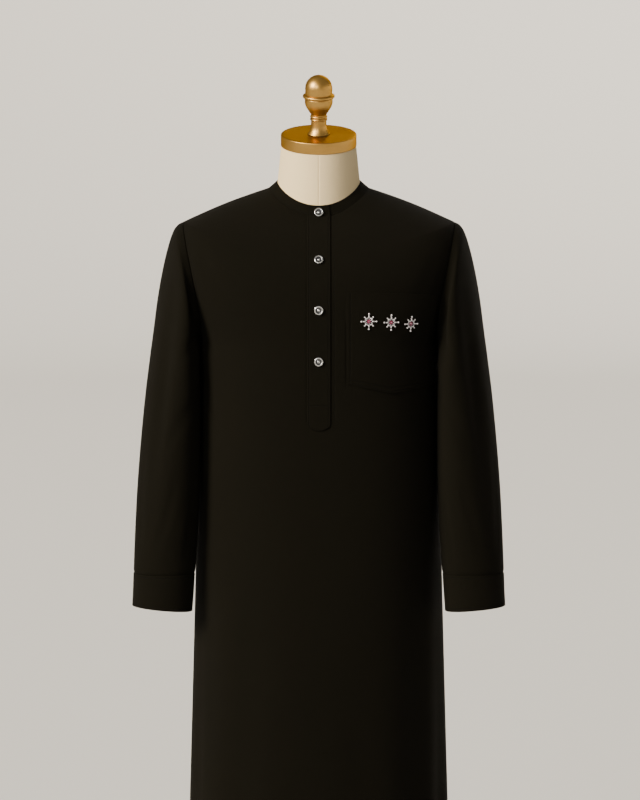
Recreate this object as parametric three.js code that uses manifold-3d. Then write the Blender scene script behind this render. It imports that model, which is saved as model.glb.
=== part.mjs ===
// A long-sleeved jalabiya that rests on a limbless dress form with a pole and a round base.
// Millimetres, +Z up, the garment's front faces -Y and its wearer's left is +X.
// Each piece of cloth is a closed wall: a grid of points on its outer face, the same grid moved
// inwards by the cloth's thickness, and the rims between them.

import * as THREE from 'three';
import { mergeVertices } from 'three/addons/utils/BufferGeometryUtils.js';
import Module from 'manifold-3d';

const wasm = await Module();
wasm.setup();

// Cloth and seams
const cloth = 1.5;
const seamGap = 0.3;
const FRONT = -1;
const BACK = 1;

// Body of the garment
const hemHeight = 95;
const underarm = new THREE.Vector3(191, 6, 1280);
const shoulderTip = new THREE.Vector3(216, 6, 1474);
const neckSide = new THREE.Vector3(80, 6, 1528);
const seamY = 6;                 // depth of the side seams and of the shoulder seams
const shoulderRise = 3;          // height of the shoulder seam's soft bow
const panelRows = { side: 13, armhole: 10, shoulder: 4 };
const panelColumns = 22;

// A row for each level of the body. place is 0 at the hem, 1 at the underarm, 2 at the shoulder tip
// and 3 at the neckline. half is the half-width under the arm, the next four are the depths and
// heights of the centre front and centre back, and square is how far the section is from an ellipse.
const bodyLevels = [
  { place: 0.0, half: 221, frontY: -166, backY: 160, frontZ: 95, backZ: 95, square: 2.15 },
  { place: 0.35, half: 209, frontY: -157, backY: 147, frontZ: 509.75, backZ: 509.75, square: 2.2 },
  { place: 0.65, half: 199, frontY: -149, backY: 134, frontZ: 865.25, backZ: 865.25, square: 2.25 },
  { place: 0.85, half: 193, frontY: -143, backY: 123, frontZ: 1102.25, backZ: 1102.25, square: 2.3 },
  { place: 1.0, half: 191, frontY: -138, backY: 120, frontZ: 1280, backZ: 1280, square: 2.35 },
  { place: 1.5, half: 191, frontY: -134.5, backY: 123, frontZ: 1378, backZ: 1388, square: 2.4 },
  { place: 2.0, half: 191, frontY: -109, backY: 113, frontZ: 1437, backZ: 1464, square: 2.2 },
  { place: 3.0, half: 191, frontY: -66, backY: 70, frontZ: 1487.5, backZ: 1538, square: 2.0 },
];

// Soft hanging folds of the body. across is the place between the side seams, from -1 to 1 as the
// panel is seen from outside, depth is inwards, and the fold grows from the level at fades to full.
const bodyFolds = {
  [FRONT]: [
    { across: -0.78, width: 0.085, depth: 7, fades: 0.86, full: 0.1 },
    { across: -0.5, width: 0.12, depth: 5, fades: 0.6, full: 0.0 },
    { across: -0.2, width: 0.1, depth: -4, fades: 0.5, full: 0.0 },
    { across: 0.22, width: 0.12, depth: 4, fades: 0.55, full: 0.0 },
    { across: 0.52, width: 0.1, depth: 6, fades: 0.7, full: 0.05 },
    { across: 0.8, width: 0.08, depth: 6, fades: 0.88, full: 0.15 },
  ],
  [BACK]: [
    { across: -0.74, width: 0.09, depth: 8, fades: 0.9, full: 0.2 },
    { across: -0.4, width: 0.11, depth: 9, fades: 0.95, full: 0.15 },
    { across: -0.08, width: 0.1, depth: -6, fades: 0.8, full: 0.1 },
    { across: 0.27, width: 0.12, depth: 10, fades: 1.0, full: 0.2 },
    { across: 0.72, width: 0.09, depth: 7, fades: 0.85, full: 0.1 },
  ],
};

// Sleeves. Each row is a slanted loop: its highest, outer point and its lowest, inner point, the
// depth of its middle, half its depth, how far its front turns towards the body, and how deep the
// front and back of the armhole are hollowed.
const sleeveLevels = [
  { outerX: 216, outerZ: 1474, innerX: 191, innerZ: 1280, midY: 6, deep: 76, turn: 0, hollow: 13 },
  { outerX: 225, outerZ: 1469, innerX: 192.6, innerZ: 1276, midY: 5, deep: 79, turn: 0.02, hollow: 8 },
  { outerX: 233.5, outerZ: 1457, innerX: 192.4, innerZ: 1271, midY: 2, deep: 82, turn: 0.07, hollow: 3 },
  { outerX: 243.5, outerZ: 1430, innerX: 190.6, innerZ: 1263, midY: -2, deep: 84, turn: 0.15, hollow: 1 },
  { outerX: 252, outerZ: 1395, innerX: 189, innerZ: 1252, midY: -6, deep: 85, turn: 0.2, hollow: 0 },
  { outerX: 259, outerZ: 1352, innerX: 188, innerZ: 1238, midY: -10, deep: 84, turn: 0.21, hollow: 0 },
  { outerX: 264.5, outerZ: 1306, innerX: 187.8, innerZ: 1220, midY: -15, deep: 82, turn: 0.21, hollow: 0 },
  { outerX: 271, outerZ: 1254, innerX: 187.8, innerZ: 1196, midY: -20, deep: 78, turn: 0.21, hollow: 0 },
  { outerX: 278, outerZ: 1193, innerX: 187.8, innerZ: 1160, midY: -27, deep: 73, turn: 0.2, hollow: 0 },
  { outerX: 284.5, outerZ: 1122, innerX: 188, innerZ: 1108, midY: -35, deep: 67, turn: 0.19, hollow: 0 },
  { outerX: 289.5, outerZ: 1052, innerX: 189, innerZ: 1048, midY: -43, deep: 60, turn: 0.17, hollow: 0 },
  { outerX: 292.8, outerZ: 982, innerX: 192, innerZ: 981, midY: -51, deep: 52, turn: 0.14, hollow: 0 },
  { outerX: 294.8, outerZ: 919, innerX: 196.4, innerZ: 919, midY: -60, deep: 43, turn: 0.1, hollow: 0 },
];
const cuffLevels = [
  { outerX: 294.9, outerZ: 918.6, innerX: 196.7, innerZ: 918.6, midY: -60.2, deep: 42.8, turn: 0.1, hollow: 0 },
  { outerX: 295.9, outerZ: 893, innerX: 198.8, innerZ: 889, midY: -63.6, deep: 41, turn: 0.1, hollow: 0 },
  { outerX: 296.9, outerZ: 867.5, innerX: 200.8, innerZ: 859.5, midY: -67, deep: 39.5, turn: 0.1, hollow: 0 },
];

// Soft folds of a sleeve. round is the angle from the outer point over the front, in degrees.
const sleeveFolds = [
  { round: 112, width: 17, depth: 6, fades: 0.4, full: 3.2, ends: 8 },
  { round: 72, width: 18, depth: -2.5, fades: 1, full: 4, ends: 8 },
  { round: 48, width: 16, depth: 4, fades: 3, full: 7, ends: 12 },
  { round: 300, width: 18, depth: 6, fades: 1, full: 5, ends: 11 },
  { round: 246, width: 16, depth: 6, fades: 0.6, full: 3.5, ends: 8.5 },
];

// Collar band: its upper edge, which leans in towards the neck
const collarTop = { half: 67, frontY: -60, backY: 62, frontZ: 1504.5, sideZ: 1539, backZ: 1553, dip: 1.5 };
const collarSteps = 3;

// Front opening: a slit, the strip under it and the buttoned strip over it
const slit = { width: 3, bottom: 1168, top: 1530 };
const placket = { half: 18.2, bottom: 1153, endHeight: 11, thick: 1.5 };
const underPlacket = { half: 14, bottom: 1160, thick: 1.2, topPlace: 2.94, gap: 0.5 };

// Buttons, from the collar down. place is the front's level, and rise is up the collar band instead.
const buttonPlaces = [
  { name: 'button_1', rise: 0.42 },
  { name: 'button_2', place: 1.8 },
  { name: 'button_3', place: 1.3 },
  { name: 'button_4', place: 0.984 },
];
const button = { radius: 7, thick: 3, rim: 1.3, dish: 0.9, boss: 1.7, round: 0.8 };

// Chest pocket on the wearer's left, with its lower edge dipping to a shallow point. Its outer edge
// follows a column of the front panel, counted from the middle.
const pocket = { left: 44, rightColumn: 9, topPlace: 1.45, thick: 1.3 };
const pocketLow = { innerCorner: 1226, point: 1209.5, outerCorner: 1218 };

// Dress form
const formBottomPlace = 0.5;
const formTopPlace = 2.7;
// A row for each level of the form: how far it stands inside the cloth at the centre and at the seam
const formLevels = [
  { place: 0.5, centre: 46, seam: 44 },
  { place: 0.66, centre: 30, seam: 30 },
  { place: 0.82, centre: 34, seam: 36 },
  { place: 1.0, centre: 16, seam: 16 },
  { place: 1.4, centre: 7, seam: 6 },
  { place: 2.0, centre: 6, seam: 3 },
  { place: 3.0, centre: 6, seam: 3 },
];
const formRows = 15;
const formColumns = 16;
const neckRows = 4;
const collarGap = 3.5;           // space between the form and the collar band's foot
const neckGap = 0.6;             // space between the neck and the collar band's upper edge
const capTilt = THREE.MathUtils.degToRad(13.5);  // the neck and its cap lean forwards
const cap = { radius: 60.25, thick: 18.4, bevel: 1.6, topY: -12, topZ: 1614.3 };
const neckTopRadius = 59.6;
const pole = { radius: 16 };
const base = { radius: 200, height: 14, edge: 4, collarRadius: 30, collarHeight: 12 };

// Half-outline of the finial, from its foot up
const finialFoot = [[0, 0], [17, 0], [14.6, 4], [13.2, 9], [12.6, 16], [12.6, 20]];
const finialBeads = [[13.9, 22], [13.9, 24.5], [12.9, 26], [13.9, 27.5], [13.9, 30], [13.2, 32]];
const finialBowl = [[14.2, 38], [17, 46], [20.4, 53], [21.6, 56.6], [25.5, 58], [25.5, 65], [21.4, 66.4]];
const finialDome = { radius: 21.6, centre: 74, steps: 8 };

const materials = {
  cloth: new THREE.MeshStandardMaterial({ color: 0x12110e, roughness: 0.86, side: THREE.DoubleSide }),
  fabric: new THREE.MeshStandardMaterial({ color: 0xdccdb2, roughness: 0.9 }),
  brass: new THREE.MeshStandardMaterial({ color: 0xb5873f, roughness: 0.35, metalness: 1 }),
  snap: new THREE.MeshStandardMaterial({ color: 0xb9bbb8, roughness: 0.3, metalness: 1 }),
};

const object = new THREE.Group();

// ---- Curves through table rows ----

// One column of a table at a place between its rows, on a smooth curve through them.
function along(rows, column, at) {
  const place = (i) => rows[i].place ?? i;
  const last = rows.length - 1;
  let i = 0;
  while (i < last - 1 && at > place(i + 1)) i += 1;
  const slope = (j) => {
    const before = Math.max(j - 1, 0);
    const after = Math.min(j + 1, last);
    return (rows[after][column] - rows[before][column]) / (place(after) - place(before));
  };
  const span = place(i + 1) - place(i);
  const t = THREE.MathUtils.clamp((at - place(i)) / span, 0, 1);
  const rise = rows[i + 1][column] - rows[i][column];
  const bend = (slope(i) * span - rise) * (1 - t) - (slope(i + 1) * span - rise) * t;
  return rows[i][column] + rise * t + t * (1 - t) * bend;
}

const smooth = (from, to, x) => {
  const t = THREE.MathUtils.clamp((x - from) / (to - from), 0, 1);
  return t * t * (3 - 2 * t);
};

// ---- Sleeve loops and the armhole ----

// The point of a sleeve loop at an angle from its outer point over the front.
function loopPoint(level, angle) {
  const reachX = (level.outerX - level.innerX) / 2;
  const side = level.turn * level.deep;
  const x = Math.sqrt(reachX ** 2 - side ** 2) * Math.cos(angle) - side * Math.sin(angle);
  const hollow = level.hollow * Math.abs(Math.sin(angle)) * (1 - Math.cos(angle)) / 2;
  return new THREE.Vector3(
    (level.outerX + level.innerX) / 2 + x - hollow,
    level.midY - level.deep * Math.sin(angle),
    (level.outerZ + level.innerZ) / 2 + (level.outerZ - level.innerZ) / 2 * Math.cos(angle),
  );
}

const armhole = sleeveLevels[0];
const armholeAxis = new THREE.Vector3(armhole.outerX - armhole.innerX, 0, armhole.outerZ - armhole.innerZ);
const armholeOut = new THREE.Vector3(armholeAxis.z, 0, -armholeAxis.x).normalize();

// The direction away from the middle of the armhole, in its own plane.
function armholeNormal(angle) {
  const half = armholeAxis.length() / 2;
  return armholeAxis.clone().normalize().multiplyScalar(Math.cos(angle) / half)
    .add(new THREE.Vector3(0, -Math.sin(angle) / armhole.deep, 0)).normalize();
}

// 0 where the sleeve carries the body's surface on, 1 under the arm, where the two face each other.
const foldedShare = (angle) => smooth(1.9, 2.8, Math.PI - Math.abs(Math.PI - angle));

// ---- Front and back panels ----

const lowerLevels = bodyLevels.filter(({ place }) => place <= 1);
const upperLevels = bodyLevels.filter(({ place }) => place >= 1);
const bodyColumn = (column, place) => along(place <= 1 ? lowerLevels : upperLevels, column, place);

const armholeAngle = (side, place) => side === FRONT ? Math.PI * (2 - place) : Math.PI * place;

// The edge of a panel at a level: side seam, then armhole, then shoulder seam.
function panelEdge(side, place) {
  if (place <= 1) {
    return new THREE.Vector3(bodyColumn('half', place), seamY, bodyColumn('frontZ', place));
  }
  if (place <= 2) return loopPoint(armhole, armholeAngle(side, place));
  const share = place - 2;
  const edge = shoulderTip.clone().lerp(neckSide, share);
  edge.z += shoulderRise * Math.sin(Math.PI * share);
  return edge;
}

// A point of the smooth body. share is the part of the half-width, with the sign of x. Each level is
// part of a superellipse that would end at the seam's depth, and rises with the square of the share.
function bodyPoint(side, place, share) {
  const edge = panelEdge(side, place);
  const name = side === FRONT ? 'front' : 'back';
  const centreY = bodyColumn(`${name}Y`, place);
  const centreZ = bodyColumn(`${name}Z`, place);
  const square = bodyColumn('square', place);
  const edgeDepth = THREE.MathUtils.clamp((edge.y - seamY) / (centreY - seamY), 0, 1);
  const full = 1 - edgeDepth ** square;
  const depth = Math.max(1 - full * Math.abs(share) ** square, 0) ** (1 / square);
  return new THREE.Vector3(
    edge.x * share,
    seamY + (centreY - seamY) * depth,
    centreZ + (edge.z - centreZ) * share ** 2,
  );
}

const shareOf = (across) => Math.sin(across * Math.PI / 2);

// The outward normal of the smooth body. On a seam it lies in the seam's own plane.
function bodyNormal(side, place, across) {
  const step = 0.004;
  const low = Math.max(place - step, 0);
  const high = Math.min(place + step, 3);
  const left = Math.max(across - step, -1);
  const right = Math.min(across + step, 1);
  const up = bodyPoint(side, high, shareOf(across)).sub(bodyPoint(side, low, shareOf(across)));
  const over = bodyPoint(side, place, shareOf(right)).sub(bodyPoint(side, place, shareOf(left)));
  const normal = over.cross(up).multiplyScalar(-side).normalize();
  const onSeam = Math.abs(across) > 1 - 1e-9;
  if (!onSeam) return normal;
  if (place < 1 || place > 2) return normal.setY(0).normalize();
  const angle = armholeAngle(side, place);
  const inPlane = armholeNormal(angle);
  inPlane.x *= Math.sign(across);
  return inPlane.lerp(normal, foldedShare(angle)).normalize();
}

function foldDepth(side, place, across) {
  const seen = across * -side;
  return bodyFolds[side].reduce((sum, fold) => {
    const bell = Math.exp(-(((seen - fold.across) / fold.width) ** 2));
    return sum + fold.depth * bell * smooth(fold.fades, fold.full, place);
  }, 0);
}

// The outer face of a panel and its normal.
function panelAt(side, place, across) {
  const normal = bodyNormal(side, place, across);
  const point = bodyPoint(side, place, shareOf(across));
  const calm = 1 - smooth(0.86, 1, Math.abs(across));
  point.addScaledVector(normal, -foldDepth(side, place, across) * calm);
  return { point, normal };
}

// The place of a height below the underarm, and the place between the seams of an x at a level.
const placeOf = (height) => (height - hemHeight) / (underarm.z - hemHeight);
const acrossOf = (x, place) => Math.asin(x / panelEdge(FRONT, place).x) * 2 / Math.PI;
const stripAt = (x, place) => panelAt(FRONT, place, acrossOf(x, place));

// ---- Meshes ----

// A mesh from points and triangles, turned so that its faces point out.
function addMesh(name, points, faces, material) {
  const volume = faces.reduce((sum, [a, b, c]) => (
    sum + points[a].dot(new THREE.Vector3().crossVectors(points[b], points[c]))
  ), 0);
  const turned = volume < 0 ? faces.map(([a, b, c]) => [a, c, b]) : faces;
  const geometry = new THREE.BufferGeometry();
  geometry.setAttribute('position', new THREE.Float32BufferAttribute(points.flatMap((p) => p.toArray()), 3));
  geometry.setIndex(turned.flat());
  return addGeometry(name, geometry, material);
}

function addGeometry(name, geometry, material) {
  geometry.computeVertexNormals();
  const mesh = new THREE.Mesh(geometry, material);
  mesh.name = name;
  object.add(mesh);
  return mesh;
}

// A turned piece from its half-outline, a list of radii and heights.
const lathe = (outline, segments) => (
  new THREE.LatheGeometry(outline.map(([r, h]) => new THREE.Vector2(r, h)), segments)
);

// A closed wall between two grids of the same shape. A ring grid also closes on itself sideways.
function addWall(name, outer, inner, ring, material) {
  const rows = outer.length;
  const columns = outer[0].length;
  const points = [...outer.flat(), ...inner.flat()];
  const at = (face, row, column) => (face * rows + row) * columns + column % columns;
  const faces = [];
  const quad = (a, b, c, d) => faces.push([a, b, c], [a, c, d]);
  const steps = ring ? columns : columns - 1;
  for (let r = 0; r < rows - 1; r += 1) {
    for (let c = 0; c < steps; c += 1) {
      quad(at(0, r, c), at(0, r, c + 1), at(0, r + 1, c + 1), at(0, r + 1, c));
      quad(at(1, r, c), at(1, r + 1, c), at(1, r + 1, c + 1), at(1, r, c + 1));
    }
  }
  for (let c = 0; c < steps; c += 1) {
    quad(at(0, 0, c), at(1, 0, c), at(1, 0, c + 1), at(0, 0, c + 1));
    quad(at(0, rows - 1, c), at(0, rows - 1, c + 1), at(1, rows - 1, c + 1), at(1, rows - 1, c));
  }
  if (!ring) {
    const last = columns - 1;
    for (let r = 0; r < rows - 1; r += 1) {
      quad(at(0, r, 0), at(0, r + 1, 0), at(1, r + 1, 0), at(1, r, 0));
      quad(at(0, r, last), at(1, r, last), at(1, r + 1, last), at(0, r + 1, last));
    }
  }
  return addMesh(name, points, faces, material);
}

const moved = (grid, distance) => grid.map((row) => row.map(({ point, normal }) => (
  point.clone().addScaledVector(normal, distance)
)));

// A wall of cloth between two distances from a grid of points with normals. A panel lies under its
// grid, and what is sewn on a panel lies a little above it.
const addCloth = (name, grid, ring, outer = 0, inner = -cloth) => (
  addWall(name, moved(grid, outer), moved(grid, inner), ring, materials.cloth)
);

// Evenly spaced numbers from one to another, both included.
function range(from, to, steps) {
  return Array.from({ length: steps + 1 }, (_, i) => from + (to - from) * i / steps);
}

// ---- The garment's pieces ----

const panelPlaces = [
  ...range(0, 1, panelRows.side),
  ...range(1, 2, panelRows.armhole).slice(1),
  ...range(2, 3, panelRows.shoulder).slice(1),
];

function addPanel(name, side) {
  const grid = panelPlaces.map((place) => range(-1, 1, panelColumns).map((across) => {
    const { point, normal } = panelAt(side, place, across);
    const onSeam = Math.abs(across) > 1 - 1e-9 && (place <= 1 || place >= 2);
    if (onSeam) point.y += side * seamGap / 2;
    return { point, normal };
  }));
  return addCloth(name, grid, false);
}

const front = addPanel('front', FRONT);
addPanel('back', BACK);

// The front is cut open down its middle, from the neck to above the end of the strip that covers it.
function asSolid(geometry) {
  const bare = geometry.clone();
  bare.deleteAttribute('normal');
  bare.deleteAttribute('uv');
  const merged = mergeVertices(bare);
  return new wasm.Manifold(new wasm.Mesh({
    numProp: 3,
    vertProperties: new Float32Array(merged.attributes.position.array),
    triVerts: new Uint32Array(merged.index.array),
  }));
}

function cutSlit(mesh) {
  const height = slit.top - slit.bottom;
  const knife = new THREE.BoxGeometry(slit.width, 2 * Math.abs(bodyLevels[0].frontY), height);
  knife.translate(0, -Math.abs(bodyLevels[0].frontY), slit.bottom + height / 2);
  const cut = asSolid(mesh.geometry).subtract(asSolid(knife)).getMesh();
  const geometry = new THREE.BufferGeometry();
  geometry.setAttribute('position', new THREE.BufferAttribute(cut.vertProperties, 3));
  geometry.setIndex(new THREE.BufferAttribute(cut.triVerts, 1));
  geometry.computeVertexNormals();
  mesh.geometry = geometry;
}

cutSlit(front);

// Sleeve loops share the angles of the panels' armhole rows, so the seam runs point to point.
const sleeveAngles = range(0, 2 * Math.PI, 2 * panelRows.armhole).slice(0, -1);

function levelAt(levels, at) {
  const columns = Object.keys(levels[0]);
  return Object.fromEntries(columns.map((column) => [column, along(levels, column, at)]));
}

function sleeveFoldDepth(at, angle) {
  return sleeveFolds.reduce((sum, fold) => {
    const away = Math.abs(THREE.MathUtils.radToDeg(angle) - fold.round);
    const bell = Math.exp(-((Math.min(away, 360 - away) / fold.width) ** 2));
    return sum + fold.depth * bell * smooth(fold.fades, fold.full, at) * smooth(fold.ends, fold.full, at);
  }, 0);
}

// The outer face of a tube of loops and its normal, for the wearer's left arm.
function tubeAt(levels, at, angle) {
  const step = 0.01;
  const level = (place) => levelAt(levels, THREE.MathUtils.clamp(place, 0, levels.length - 1));
  const point = loopPoint(level(at), angle);
  const down = loopPoint(level(at + step), angle).sub(loopPoint(level(at - step), angle));
  const round = loopPoint(level(at), angle + step).sub(loopPoint(level(at), angle - step));
  const normal = round.cross(down).normalize();
  return { point, normal };
}

function sleeveGrid() {
  return sleeveLevels.map((_, at) => sleeveAngles.map((angle) => {
    const { point, normal } = tubeAt(sleeveLevels, at, angle);
    if (at === 0) {
      point.addScaledVector(armholeOut, seamGap);
      return { point, normal: armholeNormal(angle).lerp(normal, foldedShare(angle)).normalize() };
    }
    point.addScaledVector(normal, -sleeveFoldDepth(at, angle));
    return { point, normal };
  }));
}

const cuffGrid = () => cuffLevels.map((_, at) => sleeveAngles.map((angle) => tubeAt(cuffLevels, at, angle)));

const mirrored = (grid) => grid.map((row) => row.map(({ point, normal }) => ({
  point: point.clone().setX(-point.x),
  normal: normal.clone().setX(-normal.x),
})));

addCloth('sleeve_left', sleeveGrid(), true);
addCloth('sleeve_right', mirrored(sleeveGrid()), true);
addCloth('cuff_left', cuffGrid(), true);
addCloth('cuff_right', mirrored(cuffGrid()), true);

// The collar band stands on the neckline and leans in to its upper edge. rise is 0 at its foot.
function collarAt(side, across, rise) {
  const foot = bodyPoint(side, 3, shareOf(across));
  const name = side === FRONT ? 'front' : 'back';
  const share = shareOf(across);
  const depth = Math.sqrt(Math.max(1 - share ** 2, 0));
  const top = new THREE.Vector3(
    collarTop.half * share,
    seamY + (collarTop[`${name}Y`] - seamY) * depth,
    collarTop.sideZ + (collarTop[`${name}Z`] - collarTop.sideZ) * depth ** collarTop.dip,
  );
  const up = top.clone().sub(foot).normalize();
  const outwards = new THREE.Vector3(foot.x / neckSide.x, (foot.y - seamY) / neckSide.x, 0);
  const normal = outwards.addScaledVector(up, -outwards.dot(up)).normalize();
  const point = foot.addScaledVector(up, seamGap).lerp(top, rise);
  return { point, normal };
}

// Round the neck from one end at the front opening to the other.
function collarGrid() {
  const half = [acrossOf(slit.width / 2, 3), ...range(0, 1, panelColumns / 2).slice(1)];
  const places = [
    ...half.map((across) => [FRONT, across]),
    ...range(1, -1, panelColumns).slice(1).map((across) => [BACK, across]),
    ...[...half].reverse().slice(1).map((across) => [FRONT, -across]),
  ];
  return range(0, 1, collarSteps).map((rise) => places.map(([side, across]) => collarAt(side, across, rise)));
}

addCloth('collar_band', collarGrid(), false);

// Places across a strip that follows the front opening, in half-widths.
const stripShares = [-1, -0.5, 0, 0.5, 1];
const stripRow = (half, place) => stripShares.map((share) => stripAt(share * half, place));

// The foot of the strip is rounded: its half-width at a height above its lowest point.
function footHalf(height) {
  const part = Math.min(height / placket.endHeight, 1);
  return placket.half * Math.sqrt(1 - (1 - part) ** 2);
}

function placketGrid() {
  const heights = [0.03, 0.14, 0.32, 0.6, 1].map((part) => part * placket.endHeight);
  const foot = heights.map((height) => [placeOf(placket.bottom + height), footHalf(height)]);
  const footTop = placeOf(placket.bottom + placket.endHeight);
  const above = panelPlaces.filter((place) => place > footTop && place < 3);
  const body = above.map((place) => [place, placket.half]);
  const rows = [...foot, ...body].map(([place, half]) => stripRow(half, place));
  const atNeck = (share, rise) => collarAt(FRONT, acrossOf(share * placket.half, 3), rise);
  const corner = stripShares.map((share) => {
    const { point, normal } = stripAt(share * placket.half, 3);
    return { point, normal: normal.add(atNeck(share, 0).normal).normalize() };
  });
  const collar = range(0, 1, collarSteps).slice(1);
  return [...rows, corner, ...collar.map((rise) => stripShares.map((share) => atNeck(share, rise)))];
}

addCloth('placket', placketGrid(), false, seamGap + placket.thick, seamGap);

const underLow = placeOf(underPlacket.bottom);
const underBetween = panelPlaces.filter((place) => place > underLow && place < underPlacket.topPlace);
const underRows = [underLow, ...underBetween, underPlacket.topPlace];
const underGrid = underRows.map((place) => stripRow(underPlacket.half, place));
const underDepth = -cloth - underPlacket.gap;
addCloth('under_placket', underGrid, false, underDepth, underDepth - underPlacket.thick);

// The pocket lies on the panel's own rows and columns between its pointed lower edge and its top.
function pocketGrid() {
  const panelStep = 2 / panelColumns;
  const right = pocket.rightColumn * panelStep;
  const columns = range(0, right, pocket.rightColumn).filter((across) => across > acrossOf(pocket.left, 1));
  const xAt = (across) => underarm.x * shareOf(across);
  const low = (x) => {
    const over = 2 * (x - pocket.left) / (xAt(right) - pocket.left) - 1;
    const corner = over < 0 ? pocketLow.innerCorner : pocketLow.outerCorner;
    return placeOf(THREE.MathUtils.lerp(pocketLow.point, corner, Math.abs(over)));
  };
  const lowest = placeOf(pocketLow.innerCorner);
  const between = panelPlaces.filter((place) => place > lowest && place < pocket.topPlace);
  const rowAt = (place) => [pocket.left, ...columns].map((column, i) => {
    const x = i === 0 ? pocket.left : xAt(column);
    const level = place ?? low(x);
    return panelAt(FRONT, level, i === 0 ? acrossOf(x, level) : column);
  });
  return [rowAt(null), ...between.map(rowAt), rowAt(pocket.topPlace)];
}

addCloth('pocket', pocketGrid(), false, seamGap + pocket.thick, seamGap);

// A shank button: a rim, a dished middle and a small boss, turned round its own axis.
function addButton(name, { point, normal }) {
  const { radius, thick, rim, dish, boss, round } = button;
  const floor = thick - dish;
  const outline = [
    [0, 0], [radius - round, 0], [radius, round], [radius, thick - rim / 2], [radius - rim / 2, thick],
    [radius - rim, floor], [boss + rim / 2, floor], [boss, thick - rim / 4], [0, thick - rim / 8],
  ];
  const mesh = addGeometry(name, lathe(outline, 16), materials.snap);
  mesh.quaternion.setFromUnitVectors(new THREE.Vector3(0, 1, 0), normal);
  mesh.position.copy(point).addScaledVector(normal, placket.thick + 2 * seamGap);
}

buttonPlaces.forEach(({ name, place, rise }) => {
  addButton(name, place ? stripAt(0, place) : collarAt(FRONT, 0, rise));
});

// ---- The dress form ----

// A ring of the form inside the cloth. Its columns miss the seams, so that no two points coincide.
const formAcross = range(-1, 1, formColumns).slice(0, -1).map((across) => across + 1 / formColumns);
const formRound = [
  ...formAcross.map((across) => [FRONT, across]),
  ...[...formAcross].reverse().map((across) => [BACK, across]),
];

function torsoRing(place) {
  const centre = along(formLevels, 'centre', place);
  const seam = along(formLevels, 'seam', place);
  return formRound.map(([side, across]) => {
    const share = shareOf(across);
    const inside = centre + (seam - centre) * share ** 2;
    const point = bodyPoint(side, place, share).addScaledVector(bodyNormal(side, place, across), -inside);
    if (place < 1) point.z = bodyColumn('frontZ', place);
    return point;
  });
}

const capAxis = new THREE.Vector3(0, -Math.sin(capTilt), Math.cos(capTilt));
const capTop = new THREE.Vector3(0, cap.topY, cap.topZ);
const neckTop = capTop.clone().addScaledVector(capAxis, -cap.thick - seamGap);

// A ring just inside the collar band, at its foot or higher.
const collarRing = (rise, inside) => formRound.map(([side, across]) => {
  const { point, normal } = collarAt(side, across, rise);
  return point.addScaledVector(normal, -cloth - inside);
});

// A ring of the neck between the collar's upper edge and the tilted circle under the cap.
function neckRing(rise) {
  const backwards = new THREE.Vector3(0, Math.cos(capTilt), Math.sin(capTilt));
  return collarRing(1, neckGap).map((point, i) => {
    const [side, across] = formRound[i];
    const share = shareOf(across);
    const top = neckTop.clone().setX(neckTopRadius * share);
    top.addScaledVector(backwards, side * neckTopRadius * Math.sqrt(1 - share ** 2));
    return point.lerp(top, rise);
  });
}

// A solid through closed rings, with a flat fan at each end.
function addTube(name, rings, material) {
  const count = rings[0].length;
  const middle = (ring) => ring.reduce((sum, p) => sum.add(p), new THREE.Vector3()).divideScalar(count);
  const points = [...rings.flat(), middle(rings[0]), middle(rings[rings.length - 1])];
  const faces = [];
  for (let r = 0; r < rings.length - 1; r += 1) {
    for (let c = 0; c < count; c += 1) {
      const next = (c + 1) % count;
      faces.push([r * count + c, r * count + next, (r + 1) * count + next]);
      faces.push([r * count + c, (r + 1) * count + next, (r + 1) * count + c]);
    }
  }
  const start = rings.length * count;
  const lastRow = start - count;
  for (let c = 0; c < count; c += 1) {
    const next = (c + 1) % count;
    faces.push([start, next, c], [start + 1, lastRow + c, lastRow + next]);
  }
  return addMesh(name, points, faces, material);
}

addTube('form_torso', [
  ...range(formBottomPlace, formTopPlace, formRows).map(torsoRing),
  collarRing(0, collarGap),
  ...range(0, 1, neckRows).map(neckRing),
], materials.fabric);

// A turned piece whose axis is the neck's, standing at a distance above the cap's upper face.
function addOnNeck(name, outline, segments, above) {
  const mesh = addGeometry(name, lathe(outline, segments), materials.brass);
  mesh.quaternion.setFromUnitVectors(new THREE.Vector3(0, 1, 0), capAxis);
  mesh.position.copy(capTop).addScaledVector(capAxis, above);
}

const capOutline = [
  [0, 0],
  [cap.radius, 0],
  [cap.radius, cap.thick - cap.bevel],
  [cap.radius - cap.bevel, cap.thick],
  [0, cap.thick],
];
addOnNeck('neck_cap', capOutline, 36, -cap.thick);

const domeOutline = range(-Math.PI / 9, Math.PI / 2, finialDome.steps).map((angle) => [
  finialDome.radius * Math.max(Math.cos(angle), 0),
  finialDome.centre + finialDome.radius * Math.sin(angle),
]);
domeOutline[domeOutline.length - 1][0] = 0;
addOnNeck('finial', [...finialFoot, ...finialBeads, ...finialBowl, ...domeOutline], 20, seamGap);

// A turned piece on the upright axis, standing at a height.
function addUpright(name, outline, segments, height) {
  const mesh = addGeometry(name, lathe(outline, segments), materials.brass);
  mesh.rotation.x = Math.PI / 2;
  mesh.position.z = height;
}

const formBottom = bodyColumn('frontZ', formBottomPlace);
const collarUpper = base.height + base.collarHeight;
const poleFoot = collarUpper + seamGap;
const poleLength = formBottom - seamGap - poleFoot;
addUpright('pole', [[0, 0], [pole.radius, 0], [pole.radius, poleLength], [0, poleLength]], 20, poleFoot);

addUpright('base', [
  [0, 0],
  [base.radius, 0],
  [base.radius, base.height - base.edge],
  [base.radius - base.edge, base.height],
  [base.collarRadius, base.height],
  [base.collarRadius, collarUpper],
  [0, collarUpper],
], 48, 0);

export default object;
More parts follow.
